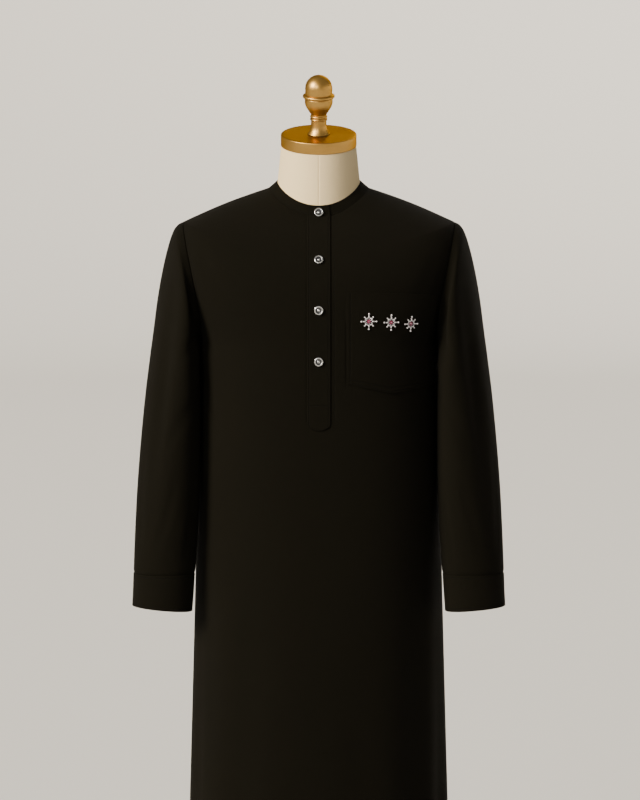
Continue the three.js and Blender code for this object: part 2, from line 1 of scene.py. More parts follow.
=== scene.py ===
import bpy
import numpy as np
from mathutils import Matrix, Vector


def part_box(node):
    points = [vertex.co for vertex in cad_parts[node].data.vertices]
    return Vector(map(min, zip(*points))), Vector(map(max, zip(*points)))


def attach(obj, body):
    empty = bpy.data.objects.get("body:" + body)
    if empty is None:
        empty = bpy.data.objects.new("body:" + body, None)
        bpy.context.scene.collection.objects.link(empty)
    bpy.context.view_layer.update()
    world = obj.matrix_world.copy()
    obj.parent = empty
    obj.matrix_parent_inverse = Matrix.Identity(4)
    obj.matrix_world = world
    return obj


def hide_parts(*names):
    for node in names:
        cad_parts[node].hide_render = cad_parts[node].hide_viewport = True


mm = 0.001
front, back = -1, 1  # a panel's side is the sign of its Y
sideNames = {front: "front", back: "back"}

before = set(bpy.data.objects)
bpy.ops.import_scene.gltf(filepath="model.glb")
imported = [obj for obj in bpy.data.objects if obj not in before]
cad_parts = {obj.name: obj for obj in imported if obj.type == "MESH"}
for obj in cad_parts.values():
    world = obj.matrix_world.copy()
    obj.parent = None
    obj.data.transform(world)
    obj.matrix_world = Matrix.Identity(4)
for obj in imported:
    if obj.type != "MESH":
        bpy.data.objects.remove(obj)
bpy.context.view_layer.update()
print("frame loaded,", len(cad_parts), "nodes")


# Camera, floor and light

camera = {
    "target": (0.002, 0.0, 1.189),
    "distance": 6.5,
    "elevation": 5.0,
    "focal": 182.8,
    "sensor": 36,  # its long side
    "farthest": 200,
}


def addCamera():
    # Looks at the target from the front, from the elevation above it
    lens = bpy.data.cameras.new("camera")
    lens.sensor_width = camera["sensor"]
    lens.lens = camera["focal"]
    lens.clip_end = camera["farthest"]
    lift = np.radians(camera["elevation"])
    x, y, z = camera["target"]
    eye = bpy.data.objects.new("camera", lens)
    eye.location = (x, y - camera["distance"] * np.cos(lift), z + camera["distance"] * np.sin(lift))
    eye.rotation_euler = (np.pi / 2 - lift, 0, 0)
    bpy.context.scene.collection.objects.link(eye)
    bpy.context.scene.camera = eye


studio = {
    "floorRings": [0.5, 4, 10], "floorRadius": 15.0, "wallRadius": 7.0,
    "wallSteps": 17, "floorSides": 96,
    "floorColor": (0.86, 0.83, 0.78, 1),
    "skyColor": (0.96, 0.93, 0.88, 1),
    "skyStrength": 0.36,
    # where it shines from, strength, angle across in degrees and colour
    "suns": {
        "key_light": ((-0.93, -0.65, 0.50), 7.2, 26, (1.0, 0.93, 0.81)),
        "back_light": ((0.30, 0.90, 0.50), 0.9, 30, (1.0, 0.95, 0.88)),
    },
    "glow": {"from": (-1.1, -3.2, 2.4), "at": (0, 0, 1.5), "width": 0.5, "power": 32},
}


def aimed(name, lamp, place, aim):
    # A lamp at a place, turned so that it shines at the aim
    holder = bpy.data.objects.new(name, lamp)
    holder.location = place
    away = Vector(aim) - Vector(place)
    holder.rotation_euler = away.to_track_quat("-Z", "Y").to_euler()
    holder.visible_camera = False
    bpy.context.scene.collection.objects.link(holder)


def addStudio():
    # An even sky, two wide suns and a soft lamp towards the chest
    world = bpy.data.worlds.new("studio")
    world.use_nodes = True
    sky = world.node_tree.nodes["Background"]
    sky.inputs["Color"].default_value = studio["skyColor"]
    sky.inputs["Strength"].default_value = studio["skyStrength"]
    bpy.context.scene.world = world
    for name, (place, strength, softness, color) in studio["suns"].items():
        sun = bpy.data.lights.new(name, "SUN")
        sun.energy = strength
        sun.angle = np.radians(softness)
        sun.color = color
        aimed(name, sun, place, (0, 0, 0))
    glow = bpy.data.lights.new("glow", "AREA")
    glow.size = studio["glow"]["width"]
    glow.energy = studio["glow"]["power"]
    aimed("glow", glow, studio["glow"]["from"], studio["glow"]["at"])


def everyCell(rows, columns):
    # The rows and the columns of a grid's cells
    return (part.ravel() for part in np.meshgrid(np.arange(rows), np.arange(columns), indexing="ij"))


def cellsOf(r, c, wide):
    # The corner numbers of cells at rows r and columns c, where a row has so many points and the
    # column after its last is its first
    corners = [(r, c), (r, c + 1), (r + 1, c + 1), (r + 1, c)]
    return np.stack([row * wide + column % wide for row, column in corners], axis=-1)


def newMaterial(name, values):
    # A material whose shader has these values, its node tree and its shader
    material = bpy.data.materials.new(name)
    material.use_nodes = True
    shader = material.node_tree.nodes["Principled BSDF"]
    for label, value in values.items():
        shader.inputs[label].default_value = value
    return material, material.node_tree, shader


def addFloor():
    # Rings of a flat round floor, then a quarter circle up into a low wall all round
    sides, rings = studio["floorSides"], studio["floorRings"]
    rise = np.linspace(0, np.pi / 2, studio["wallSteps"])
    radius = np.concatenate([rings, studio["floorRadius"] + studio["wallRadius"] * np.sin(rise)])
    height = np.concatenate([np.zeros(len(rings)), studio["wallRadius"] * (1 - np.cos(rise))])
    angle = np.arange(sides) * 2 * np.pi / sides
    points = np.stack([
        radius[:, None] * np.cos(angle), radius[:, None] * np.sin(angle), height[:, None] + 0 * angle,
    ], axis=-1).reshape(-1, 3)
    cells = cellsOf(*everyCell(len(radius) - 1, sides), sides)[:, ::-1]
    mesh = bpy.data.meshes.new("floor")
    mesh.from_pydata(points.tolist(), [], cells.tolist() + [list(range(sides))])
    mesh.shade_smooth()
    paint = {"Base Color": studio["floorColor"], "Roughness": 0.9, "Specular IOR Level": 0.1}
    mesh.materials.append(newMaterial("floor_paint", paint)[0])
    floor = bpy.data.objects.new("floor", mesh)
    floor.visible_diffuse = False  # the cloth's dark side stays dark
    bpy.context.scene.collection.objects.link(floor)


addCamera()
addStudio()
addFloor()
print("camera, floor and lights")


# Shader nodes


def addNode(tree, kind, inputs=None, **settings):
    # A node with its settings, and its inputs as numbers, colours or other nodes' outputs
    node = tree.nodes.new(kind)
    for name, value in settings.items():
        setattr(node, name, value)
    for name, value in (inputs or {}).items():
        if isinstance(value, bpy.types.NodeSocket):
            tree.links.new(value, node.inputs[name])
        else:
            node.inputs[name].default_value = value
    return node


def calc(tree, operation, *values):
    # The result of a Math node
    inputs = dict(enumerate(values))
    return addNode(tree, "ShaderNodeMath", inputs, operation=operation).outputs[0]


def blended(tree, a, b, share):
    # a times its share, and b times the rest
    return calc(tree, "ADD", calc(tree, "MULTIPLY", a, share), calc(tree, "MULTIPLY", b, 1 - share))


def scaledBy(tree, vector, factors):
    # A vector with each of its parts multiplied
    return addNode(tree, "ShaderNodeVectorMath", {0: vector, 1: factors}, operation="MULTIPLY").outputs[0]


def inPitches(tree, given):
    # A group's Place as a count of its Pitch
    perMetre = calc(tree, "DIVIDE", 1.0, given.outputs["Pitch"])
    inputs = {0: given.outputs["Place"], "Scale": perMetre}
    return addNode(tree, "ShaderNodeVectorMath", inputs, operation="SCALE").outputs[0]


def noiseOf(tree, vector, scale, detail=2.0, rough=0.5):
    # Soft noise from 0 to 1
    inputs = {"Vector": vector, "Scale": scale, "Detail": detail, "Roughness": rough}
    return addNode(tree, "ShaderNodeTexNoise", inputs).outputs["Fac"]


def mixed(tree, factor, a, b):
    # A colour between two colours, which a Mix node takes at its sockets 6 and 7 and gives at 2
    return addNode(tree, "ShaderNodeMix", {0: factor, 6: a, 7: b}, data_type="RGBA").outputs[2]


def between(tree, factor, low, high):
    # A number between two numbers, as the factor goes from 0 to 1
    inputs = {"Value": factor, "To Min": low, "To Max": high}
    return addNode(tree, "ShaderNodeMapRange", inputs).outputs["Result"]


def bumped(tree, height, strength, distance, under=None):
    # The normal over a height, on top of another normal
    inputs = {"Height": height, "Strength": strength, "Distance": distance}
    if under:
        inputs["Normal"] = under
    return addNode(tree, "ShaderNodeBump", inputs).outputs["Normal"]


def feed(tree, shader, outputs):
    # Links each output to the shader's socket of that name
    for label, output in outputs.items():
        tree.links.new(output, shader.inputs[label])


def newGroup(name, inputs):
    # A shader group with named inputs that puts out a Height and a Shade, and its two end nodes
    group = bpy.data.node_groups.new(name, "ShaderNodeTree")
    group.interface.new_socket(name="Place", in_out="INPUT", socket_type="NodeSocketVector")
    for label, value in inputs.items():
        socket = group.interface.new_socket(name=label, in_out="INPUT", socket_type="NodeSocketFloat")
        socket.default_value = value
    for label in ("Height", "Shade"):
        group.interface.new_socket(name=label, in_out="OUTPUT", socket_type="NodeSocketFloat")
    return group, group.nodes.new("NodeGroupInput"), group.nodes.new("NodeGroupOutput")


def makeWeave():
    # Plain weave: round threads both ways, each over and under the next, and every thread uneven along
    # its length. Place is in metres along the two threads and Pitch is the width of one.
    slubLength = 0.03  # its noise along a thread, as a part of that across it
    group, given, result = newGroup("plain_weave", {"Pitch": 0.0006, "Slub": 0.5})
    threads = inPitches(group, given)
    parts = addNode(group, "ShaderNodeSeparateXYZ", {0: threads})
    waves = [calc(group, "SINE", calc(group, "MULTIPLY", parts.outputs[way], np.pi)) for way in ("X", "Y")]
    warp, weft = (calc(group, "ABSOLUTE", wave) for wave in waves)
    over = addNode(group, "ShaderNodeTexChecker", {"Vector": threads, "Scale": 1.0}).outputs["Fac"]
    warpSlub, weftSlub = (noiseOf(group, scaledBy(group, threads, factors), 1.0, 1.0)
                          for factors in ((1, slubLength, 1), (slubLength, 1, 1)))
    under = calc(group, "SUBTRACT", 1.0, over)
    crown, slub = (calc(group, "ADD", calc(group, "MULTIPLY", a, over), calc(group, "MULTIPLY", b, under))
                   for a, b in ((warp, weft), (warpSlub, weftSlub)))
    height = calc(group, "MULTIPLY_ADD", slub, given.outputs["Slub"], crown)
    feed(group, result, {"Height": height, "Shade": slub})
    return group


def makeTurning():
    # Fine rings round a turned piece, uneven round it. Place is in metres round and along its outline.
    group, given, result = newGroup("turned_rings", {"Pitch": 0.0006})
    rings = inPitches(group, given)
    fine = noiseOf(group, scaledBy(group, rings, (0.012, 1, 1)), 1.0, 3.0, 0.6)
    broad = noiseOf(group, scaledBy(group, rings, (0.03, 0.12, 1)), 1.0, 2.0, 0.5)
    feed(group, result, {"Height": fine, "Shade": blended(group, fine, broad, 0.5)})
    return group


weave = makeWeave()
turning = makeTurning()


def placesOf(tree):
    # The place along the grain, from the piece's own map, and the place in the object
    return (addNode(tree, "ShaderNodeUVMap", uv_map="grain").outputs["UV"],
            addNode(tree, "ShaderNodeTexCoord").outputs["Object"])


def clothMaterial(name, look):
    # Woven cloth: the two colours mixed by thread and by wide soft clouds, with a bump of the weave
    # over one of fine unevenness
    material, tree, shader = newMaterial(name, {
        "Specular IOR Level": look["specular"], "Sheen Weight": look["sheen"],
        "Sheen Roughness": 0.5, "Sheen Tint": look["sheenTint"],
    })
    place, around = placesOf(tree)
    inputs = {"Place": place, "Pitch": look["pitch"], "Slub": look["slub"]}
    threads = addNode(tree, "ShaderNodeGroup", inputs, node_tree=weave)
    clouds = noiseOf(tree, around, look["cloudScale"], 3.0, 0.55)
    shade = blended(tree, threads.outputs["Shade"], clouds, 0.65)
    uneven = noiseOf(tree, around, look["unevenScale"], 3.0, 0.5)
    broad = bumped(tree, uneven, look["unevenStrength"], 0.001)
    feed(tree, shader, {
        "Base Color": mixed(tree, shade, look["dark"], look["light"]),
        "Roughness": between(tree, clouds, *look["roughness"]),
        "Normal": bumped(tree, threads.outputs["Height"], look["weaveStrength"], look["pitch"] * 0.35, broad),
    })
    return material


def metalMaterial(name, look):
    # Turned metal: its colour and roughness vary with the fine rings and with wide clouds. It may take
    # another colour past a length along its outline.
    material, tree, shader = newMaterial(name, {"Metallic": 1.0, "Specular Tint": look["edge"]})
    place, around = placesOf(tree)
    rings = addNode(tree, "ShaderNodeGroup", {"Place": place, "Pitch": look["pitch"]}, node_tree=turning)
    clouds = noiseOf(tree, around, look["cloudScale"], 4.0, 0.6)
    shade = blended(tree, rings.outputs["Shade"], clouds, 0.5)
    color = mixed(tree, shade, look["dark"], look["light"])
    for (start, stop), other in look.get("bands", ()):
        along = addNode(tree, "ShaderNodeSeparateXYZ", {0: place}).outputs["Y"]
        ramp = {"Value": along, "From Min": start, "From Max": stop}
        band = addNode(tree, "ShaderNodeMapRange", ramp, interpolation_type="SMOOTHSTEP")
        color = mixed(tree, band.outputs["Result"], color, other)
    feed(tree, shader, {
        "Base Color": color,
        "Roughness": between(tree, shade, *look["roughness"]),
        "Normal": bumped(tree, rings.outputs["Height"], look["bump"], 0.0002),
    })
    return material


def threadMaterial(name, dark, light, roughness):
    # Sewing thread: two colours mixed by a fine noise, which is also its bump
    material, tree, shader = newMaterial(name, {"Roughness": roughness, "Specular IOR Level": 0.12})
    around = addNode(tree, "ShaderNodeTexCoord").outputs["Object"]
    fuzz = noiseOf(tree, around, 2600.0)
    feed(tree, shader, {
        "Base Color": mixed(tree, fuzz, dark, light), "Normal": bumped(tree, fuzz, 0.4, 0.0002),
    })
    return material


def beadMaterial(name, dark, light):
    # Pearly beads: the colour and the gloss change from bead to bead
    material, tree, shader = newMaterial(name, {
        "Metallic": 0.35, "Specular IOR Level": 0.6, "Coat Weight": 0.6, "Coat Roughness": 0.08,
    })
    around = addNode(tree, "ShaderNodeTexCoord").outputs["Object"]
    lustre = noiseOf(tree, around, 420.0)
    feed(tree, shader, {
        "Base Color": mixed(tree, lustre, dark, light), "Roughness": between(tree, lustre, 0.14, 0.34),
    })
    return material


blackCloth = clothMaterial("black_cloth", {
    "dark": (0.0029, 0.0024, 0.0012, 1), "light": (0.0078, 0.0066, 0.0036, 1),
    "roughness": (0.86, 0.97), "specular": 0.055, "sheen": 0.008, "sheenTint": (0.9, 0.8, 0.65, 1),
    "pitch": 0.0007, "slub": 0.6, "weaveStrength": 0.8,
    "cloudScale": 7.0, "unevenScale": 70.0, "unevenStrength": 0.25,
})
creamFabric = clothMaterial("cream_fabric", {
    "dark": (0.90, 0.65, 0.34, 1), "light": (0.98, 0.79, 0.46, 1),
    "roughness": (0.80, 0.92), "specular": 0.2, "sheen": 0.06, "sheenTint": (1, 0.95, 0.85, 1),
    "pitch": 0.0008, "slub": 0.4, "weaveStrength": 0.5,
    "cloudScale": 14.0, "unevenScale": 60.0, "unevenStrength": 0.3,
})
satinBrass = metalMaterial("satin_brass", {
    "dark": (0.36, 0.20, 0.045, 1), "light": (0.54, 0.32, 0.095, 1), "edge": (0.50, 0.34, 0.18, 1),
    "roughness": (0.30, 0.46), "pitch": 0.0005, "cloudScale": 30.0, "bump": 0.25,
})
buttonMetal = metalMaterial("button_metal", {
    "dark": (0.42, 0.42, 0.41, 1), "light": (0.82, 0.82, 0.80, 1), "edge": (0.9, 0.9, 0.9, 1),
    "roughness": (0.16, 0.34), "pitch": 0.0003, "cloudScale": 300.0, "bump": 0.2,
    # from and to in metres along the outline, and the colour past there
    "bands": [((0.0046, 0.0056), (0.09, 0.09, 0.095, 1)), ((0.0080, 0.0084), (0.45, 0.45, 0.44, 1))],
})
# The black thread's two colours are about half the black cloth's: partly the thread's own black, partly
# painted shade, so the stitched rows read as dark lines in their grooves
blackThreadAndShade = threadMaterial("black_thread_and_painted_shade", (0.0012, 0.0010, 0.0006, 1), (0.0035, 0.003, 0.002, 1), 0.9)
creamThread = threadMaterial("cream_thread", (0.60, 0.48, 0.33, 1), (0.82, 0.72, 0.56, 1), 0.7)
pinkThread = threadMaterial("pink_thread", (0.15, 0.010, 0.035, 1), (0.40, 0.05, 0.12, 1), 0.5)
pearlBead = beadMaterial("pearl_bead", (0.50, 0.44, 0.46, 1), (0.98, 0.95, 0.94, 1))
print("materials")


# Numbers and curves


def smooth(start, stop, x):
    # 0 before start and 1 after stop, with 3t^2 - 2t^3 between them
    t = np.clip((x - start) / (stop - start), 0, 1)
    return t * t * (3 - 2 * t)


def unit(vectors):
    # Each vector over its own length
    return vectors / np.maximum(np.linalg.norm(vectors, axis=-1, keepdims=True), 1e-12)


def nearest(values, wanted):
    # The number of the value that is nearest to the wanted one
    return int(np.argmin(np.abs(values - wanted)))


def curveThrough(knots, values, at):
    # A cubic from knot to knot. Its slope at a knot is that of the line between the knots beside it.
    knots = np.asarray(knots, float)
    values = np.asarray(values, float)
    number = np.arange(len(knots))
    before = np.maximum(number - 1, 0)
    after = np.minimum(number + 1, len(knots) - 1)
    slopes = (values[after] - values[before]) / (knots[after] - knots[before])
    i = np.searchsorted(knots[1:-1], at, side="left")
    span = knots[i + 1] - knots[i]
    t = np.clip((at - knots[i]) / span, 0, 1)
    rise = values[i + 1] - values[i]
    bend = (slopes[i] * span - rise) * (1 - t) - (slopes[i + 1] * span - rise) * t
    return values[i] + rise * t + t * (1 - t) * bend


def spaced(start, stop, step, fineAt=(), fine=0.5, reach=2.0):
    # Even steps, and fine ones near some of the values, without those closer than 0.4 of the finer step
    coarse = np.linspace(start, stop, int(round(abs(stop - start) / step)) + 1)
    near = [value + np.arange(-reach, reach + fine / 2, fine) for value in fineAt]
    every = np.sort(np.concatenate([coarse, *near]))
    every = every[(every >= min(start, stop)) & (every <= max(start, stop))]
    kept = every[np.concatenate([[True], np.diff(every) > min(fine, step) * 0.4])]
    kept[-1] = max(start, stop)
    return kept


def withFine(even, places, reach, count):
    # The even values, and some closer together round each of the places
    return np.unique(np.concatenate([even, *[at + np.linspace(-reach, reach, count) for at in places]]))


def groove(distance, depth, width):
    # A bell-shaped valley along the line where distance is 0
    return depth * np.exp(-((distance / width) ** 2))


def creased(u, v, creases, turn=None):
    # The sum of soft troughs. Each runs from one point to another on a bowed line; across it the depth
    # is a bell, and along it the depth grows over the first 0.3 and fades over the last 0.35. turn is
    # the length after which u repeats.
    total = np.zeros(np.broadcast(u, v).shape)
    for startU, startV, endU, endV, bow, width, depth in creases:
        length = np.hypot(endU - startU, endV - startV)
        dirU, dirV = (endU - startU) / length, (endV - startV) / length
        offU = u - startU
        if turn:
            offU = (offU + turn / 2) % turn - turn / 2
        offV = v - startV
        t = (offU * dirU + offV * dirV) / length
        inside = np.clip(t, 0, 1)
        aside = offU * dirV - offV * dirU - bow * 4 * inside * (1 - inside)
        total = total + groove(aside, depth, width) * smooth(0, 0.3, t) * smooth(1, 0.65, t)
    return total


# The garment's shape. place is 0 at the hem, 1 at the underarm, 2 at the shoulder tip and 3 at the
# neckline; across is the place between the seams, from -1 to 1.

body = {
    "place": [0.0, 0.35, 0.65, 0.85, 1.0, 1.5, 2.0, 3.0],
    "half": [221, 209, 199, 193, 191, 191, 191, 191],
    "frontY": [-166, -157, -149, -143, -138, -134.5, -109, -66],
    "backY": [160, 147, 134, 123, 120, 123, 113, 70],
    "frontZ": [95, 509.75, 865.25, 1102.25, 1280, 1378, 1437, 1485],
    "backZ": [95, 509.75, 865.25, 1102.25, 1280, 1388, 1464, 1538],
    "square": [2.15, 2.2, 2.25, 2.3, 2.35, 2.4, 2.2, 2.0],  # 2 is an ellipse
}
cut = {
    "cloth": 1.5,
    "seamGap": 0.3,
    "hemHeight": 95,
    "underarmHeight": 1280,
    "chestHalf": 191,
    "shoulderTip": (216, 6, 1474),
    "neckSide": (80, 6, 1528),
    "seamY": 6,
    "shoulderRise": 3,
}
# across, width, depth inwards, and the places where a fold fades out and is full
folds = {
    front: [
        (-0.78, 0.085, 7, 0.86, 0.1), (-0.5, 0.12, 5, 0.6, 0.0), (-0.2, 0.1, -4, 0.5, 0.0),
        (0.22, 0.12, 4, 0.55, 0.0), (0.52, 0.1, 6, 0.7, 0.05), (0.8, 0.08, 6, 0.88, 0.15),
    ],
    back: [
        (-0.74, 0.09, 8, 0.9, 0.2), (-0.4, 0.11, 9, 0.95, 0.15), (-0.08, 0.1, -6, 0.8, 0.1),
        (0.27, 0.12, 10, 1.0, 0.2), (0.72, 0.09, 7, 0.85, 0.1),
    ],
}
# Finer creases: from and to as mm from the middle and mm above the floor, bow, width and depth
creases = {
    front: [
        (-150, 1448, -92, 1342, 6, 13, 1.1), (152, 1444, 108, 1352, -5, 12, 0.9),
        (-182, 1318, -150, 1196, 7, 9, 1.6), (184, 1306, 156, 1180, -6, 9, 1.5),
        (-166, 1262, -118, 1120, -8, 12, 1.2), (168, 1244, 124, 1092, 7, 12, 1.1),
        (-64, 1010, -82, 130, 5, 20, 2.0), (34, 860, 48, 118, -6, 22, 2.2),
        (112, 1060, 124, 140, 6, 17, 1.9), (-132, 1100, -146, 122, -5, 16, 1.8),
        (-22, 640, -12, 100, 3, 18, 1.4), (82, 560, 88, 100, -3, 14, 1.4),
        (-104, 520, -110, 100, 3, 13, 1.3), (150, 700, 160, 104, -4, 14, 1.5),
    ],
    back: [
        (-130, 1440, -66, 1330, -7, 15, 1.3), (128, 1436, 72, 1318, 6, 14, 1.2),
        (-180, 1330, -128, 1210, 8, 11, 1.6), (182, 1322, 134, 1196, -8, 11, 1.5),
        (-160, 1255, -84, 1130, -9, 14, 1.4), (158, 1240, 88, 1104, 9, 14, 1.3),
        (-56, 1180, -70, 150, 6, 20, 2.2), (26, 1000, 40, 110, -7, 22, 2.3),
        (104, 1120, 118, 150, 6, 17, 2.0), (-126, 960, -138, 118, -5, 17, 1.9),
        (-18, 720, -8, 100, 4, 18, 1.6), (74, 640, 84, 100, -4, 15, 1.5),
        (-96, 560, -104, 100, 3, 14, 1.4),
    ],
}
sleeve = {
    "outerX": [216, 225, 233.5, 243.5, 252, 259, 264.5, 271, 278, 284.5, 289.5, 292.8, 294.8],
    "outerZ": [1474, 1469, 1457, 1430, 1395, 1352, 1306, 1254, 1193, 1122, 1052, 982, 919],
    "innerX": [191, 192.6, 192.4, 190.6, 189, 188, 187.8, 187.8, 187.8, 188, 189, 192, 196.4],
    "innerZ": [1280, 1276, 1271, 1263, 1252, 1238, 1220, 1196, 1160, 1108, 1048, 981, 919],
    "midY": [6, 5, 2, -2, -6, -10, -15, -20, -27, -35, -43, -51, -60],
    "deep": [76, 79, 82, 84, 85, 84, 82, 78, 73, 67, 60, 52, 43],
    "turn": [0, 0.02, 0.07, 0.15, 0.2, 0.21, 0.21, 0.21, 0.2, 0.19, 0.17, 0.14, 0.1],
    "hollow": [13, 8, 3, 1, 0, 0, 0, 0, 0, 0, 0, 0, 0],
}
cuff = {
    "outerX": [294.9, 295.9, 296.9], "outerZ": [918.6, 893, 867.5],
    "innerX": [196.7, 198.8, 200.8], "innerZ": [918.6, 889, 859.5],
    "midY": [-60.2, -63.6, -67], "deep": [42.8, 41, 39.5],
    "turn": [0.1, 0.1, 0.1], "hollow": [0, 0, 0],
}


def bodyAt(column, place):
    # Two curves through the table's rows, which meet at the underarm
    turn = body["place"].index(1.0)
    knots, values = body["place"], body[column]
    low = curveThrough(knots[: turn + 1], values[: turn + 1], place)
    high = curveThrough(knots[turn:], values[turn:], place)
    return np.where(place <= 1, low, high)


def loopAt(table, row):
    # Every column of a sleeve's table at a row, which may lie between two
    knots = np.arange(len(table["outerX"]))
    return {column: curveThrough(knots, values, row) for column, values in table.items()}


def loopPoint(level, angle):
    # A slanted oval: the front turns towards the body by a part of its depth, and near the body the
    # front and back are hollowed
    reach = (level["outerX"] - level["innerX"]) / 2
    side = level["turn"] * level["deep"]
    x = np.sqrt(reach**2 - side**2) * np.cos(angle) - side * np.sin(angle)
    hollow = level["hollow"] * np.abs(np.sin(angle)) * (1 - np.cos(angle)) / 2
    slant = (level["outerZ"] - level["innerZ"]) / 2
    return np.stack([
        (level["outerX"] + level["innerX"]) / 2 + x - hollow,
        level["midY"] - level["deep"] * np.sin(angle),
        (level["outerZ"] + level["innerZ"]) / 2 + slant * np.cos(angle),
    ], axis=-1)


armhole = {column: float(values[0]) for column, values in sleeve.items()}
armholeAxis = np.array([armhole["outerX"] - armhole["innerX"], 0, armhole["outerZ"] - armhole["innerZ"]])
armholeOut = unit(np.array([armholeAxis[2], 0, -armholeAxis[0]]))


def armholeAngle(side, place):
    # Radians round the armhole from the shoulder tip over the front, which the back runs the other way
    place = np.clip(place, 1, 2)
    return np.pi * (2 - place) if side == front else np.pi * place


def armholeNormal(angle):
    # Away from the middle of the armhole, in its own plane
    half = np.linalg.norm(armholeAxis) / 2
    up = unit(armholeAxis) * (np.cos(angle) / half)[..., None]
    out = np.array([0, -1, 0]) * (np.sin(angle) / armhole["deep"])[..., None]
    return unit(up + out)


def foldedShare(angle):
    # 0 where the sleeve carries on the body's surface, 1 under the arm, where they face each other
    return smooth(1.9, 2.8, np.pi - np.abs(np.pi - angle))


def hollowAt(side, place):
    # How far the armhole's edge is hollowed towards the middle
    angle = armholeAngle(side, place)
    return armhole["hollow"] * np.abs(np.sin(angle)) * (1 - np.cos(angle)) / 2


def panelEdge(side, place):
    # The edge of a panel at a place: side seam, armhole, then shoulder seam
    seam = np.full_like(place, cut["seamY"])
    below = np.stack([bodyAt("half", place), seam, bodyAt("frontZ", place)], axis=-1)
    hole = loopPoint(armhole, armholeAngle(side, place))
    share = np.clip(place - 2, 0, 1)[..., None]
    tip, neck = np.array(cut["shoulderTip"], float), np.array(cut["neckSide"], float)
    shoulder = tip + (neck - tip) * share
    shoulder[..., 2] += cut["shoulderRise"] * np.sin(np.pi * share[..., 0])
    return np.where(place[..., None] <= 1, below, np.where(place[..., None] <= 2, hole, shoulder))


def halfWidth(side, place):
    # From the middle to the panel's edge, with no hollow
    return panelEdge(side, np.asarray(place, float))[..., 0] + hollowAt(side, place)


def bodyPoint(side, place, share):
    # Part of a superellipse that starts at the seam's depth and rises with the square of the share of
    # the half-width. The armhole's hollow draws it in only near the seam.
    place, share = np.broadcast_arrays(np.asarray(place, float), np.asarray(share, float))
    edge = panelEdge(side, place)
    name = sideNames[side]
    centreY, centreZ = bodyAt(name + "Y", place), bodyAt(name + "Z", place)
    square = bodyAt("square", place)
    edgeDepth = np.clip((edge[..., 1] - cut["seamY"]) / (centreY - cut["seamY"]), 0, 1)
    full = 1 - edgeDepth**square
    depth = np.maximum(1 - full * np.abs(share) ** square, 0) ** (1 / square)
    hollow = hollowAt(side, place)
    return np.stack([
        (edge[..., 0] + hollow - hollow * np.abs(share) ** 5) * share,
        cut["seamY"] + (centreY - cut["seamY"]) * depth,
        centreZ + (edge[..., 2] - centreZ) * share**2,
    ], axis=-1)


def shareOf(across):
    # A sine brings the columns closer together near the seams
    return np.sin(across * np.pi / 2)


def bodyNormal(side, place, across):
    # Square to short steps up and over the body; near a seam it turns into the seam's own plane
    step = 0.004
    place, across = np.broadcast_arrays(np.asarray(place, float), np.asarray(across, float))
    low, high = np.maximum(place - step, 0), np.minimum(place + step, 3)
    left, right = np.maximum(across - step, -1), np.minimum(across + step, 1)
    up = bodyPoint(side, high, shareOf(across)) - bodyPoint(side, low, shareOf(across))
    over = bodyPoint(side, place, shareOf(right)) - bodyPoint(side, place, shareOf(left))
    normal = unit(np.cross(over, up) * -side)
    flat = unit(normal * np.array([1, 0, 1]))
    angle = armholeAngle(side, place)
    inPlane = armholeNormal(angle)
    inPlane[..., 0] *= np.sign(across)
    folded = foldedShare(angle)[..., None]
    inPlane = unit(inPlane * (1 - folded) + normal * folded)
    onHole = ((place >= 1) & (place <= 2))[..., None]
    near = smooth(0.93, 1, np.abs(across))[..., None]
    return unit(normal * (1 - near) + np.where(onHole, inPlane, flat) * near)


def foldDepth(side, place, across):
    # The sum of hanging folds: each a bell across, growing from the place where it fades out
    total = np.zeros(np.broadcast(place, across).shape)
    for at, width, depth, fades, full in folds[side]:
        total = total + groove(across * -side - at, depth, width) * smooth(fades, full, place)
    return total


def panelAt(side, place, across):
    # The outer face of a panel with its folds and creases, which are calm near a seam, and the smooth
    # body's normal
    normal = bodyNormal(side, place, across)
    point = bodyPoint(side, place, shareOf(across))
    lines = creased(halfWidth(side, place) * across, point[..., 2], creases[side])
    calm = 1 - smooth(0.86, 1, np.abs(across))
    depth = (foldDepth(side, place, across) + lines) * calm
    return point - normal * depth[..., None], normal


def placeOf(height):
    # The place on the skirt of a height above the floor
    return (height - cut["hemHeight"]) / (cut["underarmHeight"] - cut["hemHeight"])


def acrossOf(x, place):
    # The place between the front's seams of a point x mm from the middle
    return np.arcsin(np.clip(x / halfWidth(front, place), -1, 1)) * 2 / np.pi


def frontAt(x, place):
    # The front's outer face and normal x mm from the middle
    return panelAt(front, place, acrossOf(x, place))


def chestHeights(x):
    # Places up the front's middle part and their heights, x mm from the middle
    places = np.linspace(0.9, 2.2, 600)
    return places, bodyPoint(front, places, shareOf(acrossOf(x, places)))[:, 2]


def tubeAt(table, row, angle):
    # The outer face of a sleeve or cuff of the left arm, and its normal, square to short steps down
    # and round it
    step = 0.01
    last = len(table["outerX"]) - 1
    level = loopAt(table, row)
    above, below = np.maximum(row - step, 0), np.minimum(row + step, last)
    down = loopPoint(loopAt(table, below), angle) - loopPoint(loopAt(table, above), angle)
    over = loopPoint(level, angle + step) - loopPoint(level, angle - step)
    return loopPoint(level, angle), unit(np.cross(over, down))


# Meshes. A shape is its points in mm, blocks of faces, and the grain at each face's corners in metres.


